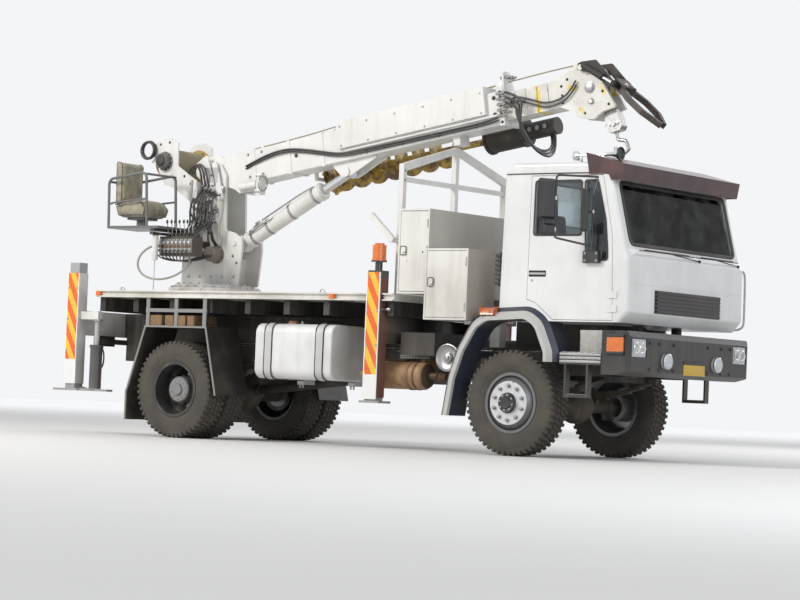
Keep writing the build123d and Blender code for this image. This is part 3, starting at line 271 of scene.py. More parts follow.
def plain(name, colour, rough, metal=0.0, scale=40.0, spread=0.25, dirt=0.3, grain=0.15, dust=DUST,
          places=()):
    """Bare, moulded or cast surface with mottling, dust and a fine grain."""
    n = Nodes(name)
    mottle = n.noise(scale, 5, 0.6)
    cloud = n.noise(2.3, 4)
    dark = tuple(c * (1 - spread) for c in colour[:3]) + (1,)
    base = n.mix(n.ramp(mottle, 0.3, 0.7), dark, colour)
    for limits, other in places:
        base = n.mix(n.inside(**limits), base, other)
    base = n.spread(base, cloud, 0.4, 0.8, dirt, dust)
    roughness = n.plus(rough - 0.06, n.times(mottle, 0.14))
    return n.finish(base, roughness, metal, bump=(n.noise(scale * 6, 3), grain, 0.002))


white = painted("white_paint", WHITE, 0.3, 0.28)
white_worn = worn_paint("white_paint_worn")
white_deck = painted("deck_paint", (0.76, 0.75, 0.71, 1), 0.45, 0.5, rust=0.5, low=1.2, high=2.2)
grey = painted("grey_paint", GREY, 0.45, 0.45, rust=0.4)
black = painted("black_paint", (0.018, 0.019, 0.021, 1), 0.4, 0.32, high=1.3, coat=0.1)
chassis_black = painted("chassis_paint", (0.022, 0.021, 0.021, 1), 0.55, 0.5, rust=0.3, high=1.5, coat=0)
plastic = plain("black_plastic", (0.028, 0.029, 0.032, 1), 0.5, scale=60, dirt=0.12)
arch_lip = plain("arch_lip", (0.5, 0.5, 0.49, 1), 0.5, scale=30, dirt=0.3)
rubber = plain("rubber", (0.022, 0.022, 0.022, 1), 0.6, scale=80, dirt=0.2)
hose_mat = plain("hose_rubber", (0.035, 0.035, 0.036, 1), 0.38, scale=120, dirt=0.25)
hose_pale = plain("hose_sleeve", (0.42, 0.41, 0.38, 1), 0.5, scale=120, dirt=0.4)
steel = plain("steel", (0.45, 0.45, 0.45, 1), 0.35, 1.0, scale=60, dirt=0.25)
chrome = plain("chrome", (0.72, 0.73, 0.75, 1), 0.1, 1.0, scale=20, spread=0.05, dirt=0.03, grain=0.01)
cast = plain("cast_iron", (0.05, 0.047, 0.045, 1), 0.62, 0.3, scale=50, dirt=0.4, grain=0.4)
rusty = plain("rusty_steel", (0.19, 0.105, 0.055, 1), 0.75, 0.2, scale=26, spread=0.55, dirt=0.3, grain=0.5)
rope_mat = plain("rope", (0.38, 0.34, 0.22, 1), 0.8, scale=200, dirt=0.4, grain=0.6)
plate_mat = plain("plate_yellow", (0.7, 0.46, 0.06, 1), 0.4, scale=90, spread=0.15, dirt=0.25, grain=0.05,
                  places=[(dict(z=(1.0, 2)), INK)])
door_paint = painted("door_paint", WHITE, 0.3, 0.28, places=[
    (dict(w=(1.1605, 3)), INK), (dict(x=(0.865, 1.052), z=(1.965, 2.086), w=(1.1452, 3)), INK),
    (dict(x=(0.9, 1.05), z=(2.7, 2.9), w=(1.1452, 3)), INK),
    (dict(x=(0.19, 0.402), z=(1.827, 1.893), w=(0, 1.1445)), INK),
    (dict(x=(0.2, 0.4), z=(1.845, 1.875), w=(1.1465, 1.16)), SILVER)])
trim_mat = plain("cab_trim_finish", (0.075, 0.035, 0.042, 1), 0.24, scale=4, spread=0.4, dirt=0.22,
                 dust=(0.25, 0.13, 0.08, 1), grain=0.02, places=[(dict(z=(0, 2.5)), INK)])
arch_mat = plain("arch_finish", (0.035, 0.042, 0.062, 1), 0.42, scale=30, dirt=0.15,
                 places=[(dict(w=(1.195, 3)), (0.5, 0.5, 0.48, 1))])
# painted shade: the housings' front and rear faces are a red darkened to near maroon, as if standing in shade
housing_mat = worn_paint("housing_paint", [
    (dict(x=(-1.9, -1.5), w=(0, 1.08)), INK), (dict(x=(-1.6415, -1.6), w=(1.08, 3), z=(0, 1.8)), SHADED_RED),
    (dict(x=(-1.9, -1.7785), w=(1.08, 3), z=(0, 1.8)), SHADED_RED), (dict(x=(-1.9, -1.5), z=(1.8, 2)), INK),
    (dict(x=(-5.752, -5.688), z=(0.6, 1.29)), SILVER)])
leg_mat = painted("leg_paint", GREY, 0.45, 0.45, rust=0.4,
                  places=[(dict(x=(-5.95, -5.2), z=(0.51, 1.3)), (0.07, 0.07, 0.075, 1))])
tank_mat = painted("tank_paint", WHITE, 0.3, 0.35, places=[
    (dict(x=(x - 0.046, x + 0.046)), (0.55, 0.56, 0.57, 1)) for x in (-3.14, -2.43)] + [
    (dict(x=(-3.03, -2.89), z=(1.303, 1.4), w=(0.93, 1.07)), (0.3, 0.12, 0.05, 1))])
muffler_mat = plain("muffler_finish", (0.4, 0.24, 0.12, 1), 0.6, 0.15, scale=14, spread=0.35, dirt=0.2,
                    grain=0.25, places=[(dict(x=(-1.205, 0)), (0.06, 0.035, 0.02, 1)),
                                        (dict(x=(-1.412, -1.368)), (0.22, 0.13, 0.07, 1))])
# painted shade: the forward faces of the cabinet and of the lower box are a darker grey-beige
cabinet_mat = worn_paint("cabinet_paint", [
    (dict(x=(-1.0415, -1.0385)), (0.5, 0.48, 0.44, 1)), (dict(x=(-0.4965, -0.49)), (0.44, 0.41, 0.36, 1))])
turret_mat = worn_paint("turret_paint", [
    (dict(x=(-5.69, -5.42), z=(3.06, 3.34), y=(-0.5, -0.3105)), (0.11, 0.11, 0.11, 1)),
    (dict(x=(-4.93, -4.68), z=(1.99, 2.24), y=(-0.5, -0.1925)), (0.15, 0.13, 0.115, 1)),
    (dict(x=(-5.13, -5.05), z=(2.28, 2.37), y=(-1.1, -0.4)), INK),
    (dict(x=(-5.0, -4.8), z=(2.94, 3.12), w=(0.193, 0.3)), SILVER)])
valve_mat = plain("valve_finish", (0.075, 0.06, 0.05, 1), 0.5, 0.3, scale=50, dirt=0.35, grain=0.3, places=[
    (dict(w=(0.8205, 1), z=(2.0, 2.26)), (0.34, 0.34, 0.33, 1)), (dict(w=(0.8465, 1)), (0.55, 0.55, 0.54, 1)),
    (dict(z=(2.281, 2.4)), INK)])
guard_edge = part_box("rear_mudguards")[1][1] - 0.012
guard_mat = plain("guard_finish", (0.03, 0.028, 0.026, 1), 0.5, scale=30, dirt=0.3, grain=0.2,
                  places=[(dict(w=(guard_edge, 3)), (0.24, 0.24, 0.235, 1))])
platform_mat = painted("platform_paint", (0.13, 0.135, 0.14, 1), 0.42, 0.35, rust=0.3)


def glass_material(name, tint, mix):
    """Clear glass seen from both sides: a glossy skin over a tinted transparent body."""
    n = Nodes(name)
    tree = n.tree
    tree.nodes.remove(n.shader)
    clear = n.new("BsdfTransparent")
    clear.inputs[0].default_value = tint
    gloss = n.new("BsdfGlossy")
    gloss.inputs["Roughness"].default_value = 0.04
    fresnel = n.new("LayerWeight")
    fresnel.inputs["Blend"].default_value = mix
    dusty = n.ramp(n.noise(5, 5, 0.65), 0.35, 0.9)
    film = n.new("BsdfDiffuse")
    film.inputs[0].default_value = (0.45, 0.47, 0.47, 1)
    body = n.new("MixShader")
    n.put(body.inputs[0], n.times(dusty, 0.16))
    tree.links.new(clear.outputs[0], body.inputs[1])
    tree.links.new(film.outputs[0], body.inputs[2])
    skin = n.new("MixShader")
    tree.links.new(fresnel.outputs["Fresnel"], skin.inputs[0])
    tree.links.new(body.outputs[0], skin.inputs[1])
    tree.links.new(gloss.outputs[0], skin.inputs[2])
    tree.links.new(skin.outputs[0], tree.nodes["Material Output"].inputs[0])
    return n.mat


def lens_material(name, colour):
    """Moulded lamp lens with fine vertical flutes."""
    n = Nodes(name)
    flutes = n.math("SINE", n.times(n.axis("Z"), 520.0))
    cloud = n.noise(30, 3)
    deep = tuple(c * 0.45 for c in colour[:3]) + (1,)
    n.shader.inputs["Transmission Weight"].default_value = 0.25
    n.shader.inputs["IOR"].default_value = 1.49
    base = n.mix(n.ramp(cloud, 0.35, 0.7), colour, deep)
    return n.finish(base, 0.14, coat=0.6, bump=(flutes, 0.25, 0.002))


orange_lens = lens_material("orange_lens", (0.85, 0.2, 0.02, 1))
clear_lens = lens_material("clear_lens", (0.72, 0.73, 0.72, 1))
red_lens = lens_material("red_lens", (0.5, 0.02, 0.015, 1))


def stripes_material():
    """Diagonal orange and yellow reflective tape between white borders, on each board."""
    n = Nodes("warning_stripes")
    x, z = n.axis("X"), n.axis("Z")
    board_half, border, period, lean = 0.09, 0.012, 0.3, 1.9
    near_front = n.math("GREATER_THAN", x, FRONT_AXLE - 3.8)
    middle = n.plus(FRONT_AXLE - 6.05, n.times(near_front, 6.05 - 1.71))
    off = n.minus(x, middle)
    foot = n.minus(0.84, n.times(near_front, 0.06))
    run = n.plus(z, n.times(off, lean))
    wave = n.math("PINGPONG", n.math("DIVIDE", run, period), 0.5)
    is_orange = n.ramp(wave, 0.245, 0.255)
    cloud = n.noise(9, 5)
    orange = n.mix(cloud, (0.82, 0.16, 0.02, 1), (0.7, 0.1, 0.02, 1))
    yellow = n.mix(cloud, (0.88, 0.56, 0.04, 1), (0.8, 0.44, 0.04, 1))
    tape = n.mix(is_orange, yellow, orange)
    edge = n.math("GREATER_THAN", n.math("ABSOLUTE", off), board_half - border)
    bare = n.math("MAXIMUM", edge, n.math("LESS_THAN", z, foot))
    base = n.mix(bare, tape, WHITE)
    base = n.spread(base, n.noise(34, 5, 0.7), 0.7, 0.74, 0.8, (0.55, 0.52, 0.47, 1))
    base = n.spread(base, n.noise(2.4, 5), 0.5, 0.85, 0.3)
    cells = n.new("TexVoronoi")
    cells.inputs["Scale"].default_value = 420
    return n.finish(base, 0.34, coat=0.3, bump=(cells.outputs["Distance"], 0.1, 0.001))


def ringed(name, centre_x, bands, rough, metal):
    """Wheel finish in rings about a cross axle. bands: outer radius of each ring and its colour."""
    n = Nodes(name)
    dx = n.minus(n.axis("X"), centre_x)
    dz = n.minus(n.axis("Z"), AXLE_Z)
    radius = n.math("SQRT", n.plus(n.times(dx, dx), n.times(dz, dz)))
    base = bands[0][1]
    for (limit, _), (_, colour) in zip(bands, bands[1:]):
        base = n.mix(n.ramp(radius, limit - 0.001, limit + 0.001), base, colour)
    cloud = n.noise(7, 6, 0.6)
    base = n.spread(base, n.noise(38, 5, 0.7), 0.62, 0.72, 0.5, (0.16, 0.1, 0.06, 1))
    base = n.spread(base, cloud, 0.42, 0.8, 0.35)
    return n.finish(base, n.plus(rough, n.times(cloud, 0.15)), metal,
                    bump=(n.noise(160, 3), 0.12, 0.001))


front_rim_mat = ringed("front_rim_finish", FRONT_AXLE, [
    (0.107, (0.055, 0.055, 0.06, 1)), (0.225, (0.62, 0.63, 0.65, 1)), (1, (0.17, 0.17, 0.18, 1))], 0.34, 0.7)
rear_rim_mat = ringed("rear_rim_finish", FRONT_AXLE - WHEELBASE, [
    (0.15, (0.24, 0.24, 0.25, 1)), (0.268, (0.015, 0.015, 0.017, 1)), (1, (0.05, 0.05, 0.052, 1))],
    0.32, 0.35)


def tyre_material():
    """Worn rubber, mottled and dusty."""
    n = Nodes("tyre_rubber")
    cloud = n.noise(5, 6, 0.6)
    fine = n.noise(90, 4, 0.6)
    base = n.mix(n.ramp(cloud, 0.3, 0.75), (0.052, 0.047, 0.041, 1), (0.085, 0.075, 0.062, 1))
    base = n.spread(base, fine, 0.45, 0.75, 0.35, (0.13, 0.11, 0.09, 1))
    return n.finish(base, n.plus(0.72, n.times(fine, 0.15)), bump=(fine, 0.35, 0.002))


tyre_mat = tyre_material()


def boom_tip_material():
    """White paint of the inner boom with faded yellow tape patches, rust and scrapes."""
    n = Nodes("boom_tip_paint")
    turned = n.new("VectorRotate", rotation_type="AXIS_ANGLE")
    turned.inputs["Axis"].default_value = (0, 1, 0)
    turned.inputs["Angle"].default_value = BOOM_RISE
    turned.inputs["Center"].default_value = PIVOT
    n.put(turned.inputs["Vector"], n.coord)
    place = turned.outputs[0]
    u = n.minus(n.axis("X", place), PIVOT.x)
    v = n.minus(n.axis("Z", place), PIVOT.z)
    cloud = n.noise(2.6, 5)
    base = n.mix(n.ramp(cloud, 0.3, 0.8), (0.78, 0.77, 0.73, 1), (0.66, 0.64, 0.6, 1))
    # middle u, middle v, half length, half width, lean
    patches = [(4.5, 0.02, 0.03, 0.15, 0.0), (4.93, 0.055, 0.062, 0.028, 0.45),
               (5.3, -0.03, 0.022, 0.07, -0.4), (5.02, -0.2, 0.05, 0.03, 0.9),
               (2.1, -0.12, 0.09, 0.03, -0.2)]
    worn = n.ramp(n.noise(30, 5, 0.7), 0.35, 0.5)
    for pu, pv, hu, hv, lean in patches:
        du = n.minus(u, pu)
        dv = n.minus(v, pv)
        dv2 = n.plus(dv, n.times(du, lean))
        du2 = n.minus(du, n.times(dv, lean))
        inside = n.times(n.math("LESS_THAN", n.math("ABSOLUTE", du2), hu),
                        n.math("LESS_THAN", n.math("ABSOLUTE", dv2), hv))
        base = n.mix(n.times(inside, worn), base, (0.8, 0.62, 0.1, 1))
    spots = n.times(n.ramp(n.noise(24, 6, 0.7), 0.6, 0.66), n.ramp(n.noise(4, 3), 0.42, 0.58))
    runs = n.times(n.ramp(n.noise(1.0, 5, 0.65, n.stretch(26, 26, 2)), 0.6, 0.78), 0.6)
    base = n.mix(n.math("MAXIMUM", spots, runs), base, RUST)
    film = n.times(n.ramp(n.noise(3.3, 5), 0.4, 0.8), 0.35)
    base = n.mix(film, base, DUST)
    return n.finish(base, n.plus(0.4, n.times(film, 0.5)), bump=(n.noise(60, 4), 0.12, 0.002))


tip_mat = boom_tip_material()
stripe_mat = stripes_material()
screen_glass = glass_material("screen_glass", (0.93, 0.96, 0.95, 1), 0.16)
door_glass = glass_material("door_glass", (0.8, 0.85, 0.88, 1), 0.3)


def fabric_material(name, colour):
    """Woven seat cloth with a crossing weave, stains and a soft sheen."""
    n = Nodes(name)
    weave = 1512.0    # radians of the weave in a metre
    a = n.math("SINE", n.times(n.axis("Y"), weave))
    b = n.math("SINE", n.times(n.plus(n.axis("X"), n.axis("Z")), weave))
    threads = n.times(a, b)
    stain = n.noise(8, 5, 0.6)
    dark = tuple(c * 0.55 for c in colour[:3]) + (1,)
    base = n.mix(n.ramp(stain, 0.4, 0.75), colour, dark)
    n.shader.inputs["Sheen Weight"].default_value = 0.25
    return n.finish(base, 0.85, bump=(threads, 0.3, 0.0015))


seat_cloth = fabric_material("seat_cloth", (0.36, 0.33, 0.24, 1))
cab_cloth = fabric_material("cab_seat_cloth", (0.09, 0.09, 0.1, 1))


def timber_material():
    """Weathered wood with its grain along the truck's width."""
    n = Nodes("timber")
    rings = n.noise(1.0, 6, 0.6, n.stretch(60, 6, 60), 1.2)
    base = n.mix(n.ramp(rings, 0.3, 0.7), (0.3, 0.19, 0.1, 1), (0.17, 0.1, 0.05, 1))
    base = n.spread(base, n.noise(11, 5), 0.5, 0.8, 0.5, (0.08, 0.06, 0.05, 1))
    return n.finish(base, 0.85, bump=(rings, 0.4, 0.002))


timber = timber_material()


def yellow_material():
    """Faded yellow auger paint worn through to brown steel in patches."""
    n = Nodes("auger_paint")
    worn = n.ramp(n.noise(9, 7, 0.7), 0.44, 0.58)
    base = n.mix(worn, (0.52, 0.36, 0.07, 1), (0.15, 0.085, 0.045, 1))
    base = n.spread(base, n.noise(3, 4), 0.4, 0.8, 0.35)
    return n.finish(base, 0.62, 0.2, bump=(n.noise(70, 5), 0.3, 0.002))


auger_mat = yellow_material()


def lamp_material():
    """One node holds every lamp, so the finish goes by place: amber behind, pale in front, dark stems."""
    n = Nodes("lamp_finish")
    x, z = n.axis("X"), n.axis("Z")
    amber = n.mix(n.noise(40, 3), (0.85, 0.24, 0.02, 1), (0.6, 0.1, 0.02, 1))
    front = n.math("GREATER_THAN", x, FRONT_AXLE + 1.4)
    pale = n.mix(n.noise(22, 3), (0.7, 0.72, 0.74, 1), (0.4, 0.42, 0.44, 1))
    base = n.mix(front, amber, pale)
    stem = n.times(n.math("GREATER_THAN", z, 1.87), n.math("LESS_THAN", z, 1.985))
    base = n.mix(stem, base, (0.02, 0.02, 0.02, 1))
    flutes = n.math("SINE", n.times(z, 560.0))
    return n.finish(base, 0.18, coat=0.7, bump=(flutes, 0.2, 0.002))


lamp_mat = lamp_material()

NODE_MATERIALS = {"chassis_frame": chassis_black, "subframe": chassis_black,
                  "outrigger_housings": housing_mat, "warning_boards": stripe_mat, "engine_and_gearbox": cast,
                  "axles": chassis_black, "leaf_springs": chassis_black, "fuel_tank": tank_mat,
                  "muffler": muffler_mat, "battery_box": chassis_black, "front_mudguards": arch_mat,
                  "rear_mudguards": guard_mat, "front_bumper": black, "lamps": lamp_mat, "deck": white_deck,
                  "cabinet": cabinet_mat, "headboard": white_worn, "cab_roof": white, "cab_shell": white,
                  "cab_glass": screen_glass, "cab_trim": trim_mat, "cab_interior": plastic,
                  "steering_wheel": plastic, "box_door": white_deck, "turret": turret_mat,
                  "operator_platform": platform_mat, "operator_seat": seat_cloth, "valve_bank": valve_mat,
                  "winch_drum": auger_mat, "boom": white_worn, "auger_drive": cast, "lift_barrel": white_worn,
                  "lift_rod": chrome, "inner_boom": tip_mat, "hook_block": steel, "claw_frame": cast,
                  "auger": auger_mat}
for word, _ in SIDES:
    NODE_MATERIALS.update({
        "knuckle_" + word: cast, "front_rim_" + word: front_rim_mat, "front_tyre_" + word: tyre_mat,
        "rear_rims_" + word: rear_rim_mat, "rear_tyres_" + word: tyre_mat, "door_" + word: door_paint,
        "door_glass_" + word: door_glass, "cabinet_door_" + word: white_deck, "claw_arm_" + word: cast,
        "outrigger_leg_front_" + word: leg_mat, "outrigger_leg_rear_" + word: leg_mat})
for name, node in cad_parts.items():
    node.data.materials.clear()
    node.data.materials.append(NODE_MATERIALS.get(name, plastic))

# Making pieces


def placed(obj, material, body):
    """Links an object, gives it its material and lets it ride on a body."""
    bpy.context.scene.collection.objects.link(obj)
    obj.data.materials.append(material)
    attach(obj, body)
    return obj


def from_bmesh(bm, name):
    bmesh.ops.recalc_face_normals(bm, faces=bm.faces)
    mesh = bpy.data.meshes.new(name)
    bm.to_mesh(mesh)
    bm.free()
    return mesh


def add(name, bm, material, body="chassis", smooth=True):
    """Piece from a bmesh, riding on a body."""
    mesh = from_bmesh(bm, name)
    if smooth:
        for polygon in mesh.polygons:
            polygon.use_smooth = True
        mesh.set_sharp_from_angle(angle=math.radians(32))
    return placed(bpy.data.objects.new(name, mesh), material, body)


def tubes(name, runs, radius, material, body="chassis", order=3, sides=2, detail=5):
    """Hoses or pipes along control points as one piece: smooth curves, or straight runs for order 2."""
    curve = bpy.data.curves.new(name, "CURVE")
    curve.dimensions = "3D"
    for points in runs:
        spline = curve.splines.new("NURBS" if order > 2 else "POLY")
        spline.points.add(len(points) - 1)
        for control, place in zip(spline.points, points):
            control.co = (*place, 1)
        if order > 2:
            spline.order_u = order
            spline.use_endpoint_u = True
            spline.resolution_u = detail
    curve.bevel_depth = radius
    curve.bevel_resolution = sides
    curve.use_fill_caps = True
    return placed(bpy.data.objects.new(name, curve), material, body)


def angles(count, start=0.0):
    return [start + 2 * math.pi * k / count for k in range(count)]


def ring_about(bm, centre, axis, radius, count):
    """Points round a unit axis."""
    side = axis.orthogonal().normalized()
    other = axis.cross(side)
    return [bm.verts.new(centre + (side * math.cos(t) + other * math.sin(t)) * radius) for t in angles(count)]


def join_rings(bm, here, there):
    """Faces between two rings of equally many points."""
    count = len(here)
    for k in range(count):
        bm.faces.new((here[k], here[(k + 1) % count], there[(k + 1) % count], there[k]))


def turnings(name, parts, material, body="chassis", segments=24):
    """Turned solids, each from a start, a direction and pairs of distance and radius."""
    bm = bmesh.new()
    for start, way, profile in parts:
        axis = Vector(way).normalized()
        rings = [ring_about(bm, start + axis * d, axis, r, segments) for d, r in profile]
        for here, there in zip(rings, rings[1:]):
            join_rings(bm, here, there)
        bm.faces.new(rings[0])
        bm.faces.new(list(reversed(rings[-1])))
    return add(name, bm, material, body)


def barrel(edge, radius, length, chamfer):
    """Profile of a turned pin with chamfered ends."""
    return (0, edge), (chamfer, radius), (length - chamfer, radius), (length, edge)


def bolt(bm, place, axis, radius, height):
    """Hexagon head on a washer."""
    axis = Vector(axis).normalized()
    washer = [ring_about(bm, place + axis * h, axis, radius * 1.5, 16) for h in (0.0, height * 0.3)]
    join_rings(bm, *washer)
    bm.faces.new(washer[1])
    head = [ring_about(bm, place + axis * height * h, axis, radius * r, 6)
            for h, r in ((0.3, 1), (1.15, 1), (1.3, 0.82))]
    for here, there in zip(head, head[1:]):
        join_rings(bm, here, there)
    bm.faces.new(list(reversed(head[-1])))


def bolts(name, places, axis, radius, height, body="chassis", material=steel):
    bm = bmesh.new()
    for place in places:
        bolt(bm, place, axis, radius, height)
    return add(name, bm, material, body, smooth=False)


def slab(bm, low, high, turn=None):
    """Box between corners, turned about its middle where a turn is given."""
    middle, size = (Vector(low) + Vector(high)) / 2, Vector(high) - Vector(low)
    for vert in bmesh.ops.create_cube(bm, size=1.0)["verts"]:
        vert.co = Vector(c * s for c, s in zip(vert.co, size)) + middle
        if turn is not None:
            vert.co = middle + turn @ (vert.co - middle)


def soften(bm, width):
    bmesh.ops.bevel(bm, geom=[e for e in bm.edges if e.calc_face_angle(0) > 0.5], offset=width,
                    segments=2, affect="EDGES", profile=0.6)


def blocks(name, boxes, edge, material, body="chassis"):
    """Rounded blocks between low and high corners, each with a turn about its middle or None."""
    bm = bmesh.new()
    for low, high, turn in boxes:
        slab(bm, low, high, turn)
    soften(bm, edge)
    return add(name, bm, material, body)


def box(x0, x1, y0, y1, z0, z1, turn=None):
    """Block between x, y and z limits."""
    return at(x0, y0, z0), at(x1, y1, z1), turn


def bar(x0, x1, y, half, z0, z1, turn=None):
    """Block that reaches half a width to each side of y."""
    return box(x0, x1, y - half, y + half, z0, z1, turn)


def around(place, below, beyond, turn=None):
    """Block that reaches below and beyond a place."""
    return place - Vector(below), place + Vector(beyond), turn


def strip(name, points, width, depth, material, body="chassis"):
    """Flat moulding swept round a closed chain of points in one plane."""
    bm = bmesh.new()
    normal = (points[1] - points[0]).cross(points[2] - points[1]).normalized()
    rings = []
    for i, place in enumerate(points):
        a = (place - points[i - 1]).normalized()
        b = (points[(i + 1) % len(points)] - place).normalized()
        middle = (a + b).normalized()
        across = normal.cross(middle) / max(0.5, a.dot(middle))
        rings.append([bm.verts.new(place + across * w * width / 2 + normal * d * depth / 2)
                      for w, d in ((-1, -1), (1, -1), (0.75, 1), (-0.75, 1))])
    for i, ring in enumerate(rings):
        join_rings(bm, rings[i - 1], ring)
    return add(name, bm, material, body)


def rounded(points, radius, steps=4):
    """Closed chain with its corners rounded."""
    out = []
    for i, corner in enumerate(points):
        a = points[i - 1] - corner
        b = points[(i + 1) % len(points)] - corner
        cut = min(radius, a.length / 2.2, b.length / 2.2)
        start, end = corner + a.normalized() * cut, corner + b.normalized() * cut
        for t in [k / steps for k in range(steps + 1)]:
            out.append(start * (1 - t) ** 2 + corner * 2 * t * (1 - t) + end * t ** 2)
    return out


def round_wheel(radius, y, x, count, start=0.0, z=AXLE_Z):
    """Points round a cross axle."""
    return [at(x + radius * math.sin(a), y, z + radius * math.cos(a)) for a in angles(count, start)]


# The free hose loop beside the valve bank, the same points as in the part's source

loop_y = -0.74
loop_points = path(
    (-5.13, loop_y, 2.19), (-5.31, loop_y, 2.19), (-5.49, loop_y - 0.015, 2.08),
    (-5.52, loop_y - 0.025, 1.93), (-5.4, loop_y - 0.02, 1.82), (-5.2, loop_y - 0.01, 1.785),
    (-5.000, loop_y, 1.815), (-4.83, loop_y, 1.89), (-4.735, loop_y, 1.96), (-4.735, loop_y, 2.06))
hose_loop = tubes("hose_loop_hose", [loop_points], 0.012, hose_pale, "turret", sides=4, detail=6)
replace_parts(hose_loop, "hose_loop")

# Tyres with tread blocks

TYRE_RADIUS = 0.54
# outboard distance and radius round a tyre's section
TYRE_SECTION = [(0.112, 0.291), (0.116, 0.314), (0.128, 0.334), (0.139, 0.366), (0.1395, 0.372),
                (0.1425, 0.376), (0.1465, 0.41), (0.147, 0.432), (0.145, 0.462), (0.1415, 0.482),
                (0.144, 0.487), (0.139, 0.506), (0.128, 0.519), (0.112, 0.524), (0.06, 0.5275), (0.0, 0.5285)]
# blocks in a row, nearest and farthest from the tyre's middle, low and high radius, turn, half width, lean
TREAD = ((50, 0.074, 0.112, 0.522, TYRE_RADIUS, 0.0, 0.038, 0.016),
         (50, 0.112, 0.1375, 0.516, 0.5385, 0.016, 0.036, 0.004),
         (50, 0.1365, 0.1435, 0.492, 0.52, 0.02, 0.03, 0.0),
         (60, 0.006, 0.064, 0.524, TYRE_RADIUS, 0.0, 0.04, 0.02))


def tread_block(bm, centre_y, axle_x, near, far, low, high, angle, half, lean):
    """Block of tread between two distances from the tyre's middle, leaning round the tyre."""
    corners = []
    for radius, shrink in ((low, 1.0), (high, 0.88)):
        for out, shift in ((near, -lean), (far, lean)):
            for turn in (-half * shrink, half * shrink):
                a = angle + turn + shift
                corners.append(bm.verts.new(at(axle_x + radius * math.sin(a), centre_y + out,
                                               AXLE_Z + radius * math.cos(a))))
    for quad in ((4, 5, 7, 6), (0, 1, 5, 4), (2, 6, 7, 3), (0, 4, 6, 2), (1, 3, 7, 5)):
        bm.faces.new([corners[k] for k in quad])


def tyre(bm, centre_y, axle_x):
    profile = [(out, r) for out, r in TYRE_SECTION] + [(-out, r) for out, r in reversed(TYRE_SECTION[:-1])]
    rings = [[bm.verts.new(at(axle_x + r * math.sin(a), centre_y + out, AXLE_Z + r * math.cos(a)))
              for out, r in profile] for a in angles(120)]
    for i, ring in enumerate(rings):
        join_rings(bm, rings[i - 1], ring)
    for side in (-1, 1):
        for count, near, far, low, high, turn, half, lean in TREAD:
            for a in angles(count, math.pi / count if side > 0 else 0):
                tread_block(bm, centre_y, axle_x, side * near, side * far, low, high, a + side * turn, half,
                            side * lean)


for word, side in SIDES:
    for name, axle_x, centres, body in (("front_tyre_", 0.0, (0.98,), "front_wheel_"),
                                        ("rear_tyres_", -WHEELBASE, (1.05, 0.715), "rear_wheels_")):
        bm = bmesh.new()
        for centre in centres:
            tyre(bm, side * centre, axle_x)
        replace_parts(add(f"{name}{word}_treaded", bm, tyre_mat, body + word), name + word)

# Windscreen: rubber, rear window's rubber and wipers

CORNERS = ((-1, -1), (1, -1), (1, 1), (-1, 1))
screen_foot, screen_head = path((1.33, 0, 2.12), (1.15, 0, 2.83))
screen_up = (screen_head - screen_foot).normalized()
screen_mid = (screen_foot + screen_head) / 2 + Y.cross(screen_up).normalized() * 0.003
screen_edge = [screen_mid + screen_up * 0.32 * v + Y * 1.03 * s for s, v in CORNERS]
strip("screen_rubber", rounded(screen_edge, 0.07, 6), 0.044, 0.014, rubber)
rear_edge = path((-0.1665, 0.45, 2.42), (-0.1665, -0.45, 2.42), (-0.158, -0.45, 2.86), (-0.158, 0.45, 2.86))
strip("rear_window_rubber", rounded(rear_edge, 0.04), 0.036, 0.016, rubber)
# y of the pivot, of the elbow and of the blade's two ends
for count, (pivot, elbow, low, high) in enumerate(((0.244, -0.35, -0.95, 0.12), (1.048, 0.55, 0.16, 1.02))):
    foot, mid = path((1.366, pivot, 2.074), (1.378, elbow, 2.112))
    tubes(f"wiper_arm_{count}", [[foot, foot.lerp(mid, 0.5) + X * 0.006, mid]], 0.006, black)
    turnings(f"wiper_pivot_{count}", [(foot - X * 0.02, X, ((0, 0.016), (0.028, 0.016), (0.034, 0.01)))],
             plastic, segments=16)
    blocks(f"wiper_blade_{count}", [box(1.366, 1.386, low, high, 2.106, 2.114),
                                    box(1.371, 1.381, low + 0.1, high - 0.1, 2.114, 2.124)], 0.002, rubber)

# Doors: window rubbers, mirrors, stay clamps, lock, roof gutter and arch marker

MAIN_WINDOW = ((0.235, 2.25), (0.24, 2.8), (0.795, 2.8), (0.808, 2.25))
QUARTER_WINDOW = ((0.872, 2.0), (0.832, 2.8), (0.985, 2.8), (1.092, 2.4), (1.122, 2.12), (1.128, 2.0))
DOOR_LOCK = ((0, 0.013), (0.003, 0.013), (0.005, 0.01))
GUTTER = ((-0.12, 2.874), (0.3, 2.876), (0.98, 2.876), (1.06, 2.868))
# each mirror head's middle, width, height, depth to the glass, turn in degrees and the glass's swell
HEADS = ((0.62, 1.5, 2.587, 0.18, 0.4, 0.02, 30, 0.003),
         (0.636, 1.474, 2.285, 0.14, 0.116, 0.02, 30, 0.012),
         (0.905, 1.25, 2.49, 0.12, 0.43, 0.024, -33, 0.003))


def mirror_glass(name, chain, middle, face, swell, body):
    """Thin glass inside a chain of points, its front swelling towards the middle."""
    bm = bmesh.new()
    front, rear = ([bm.verts.new(p + face * d) for p in chain] for d in (0.002, -0.002))
    peak = bm.verts.new(middle + face * swell)
    for k in range(len(chain)):
        bm.faces.new((front[k - 1], front[k], peak))
    join_rings(bm, rear, front)
    bm.faces.new(rear)
    add(name, bm, chrome, body)


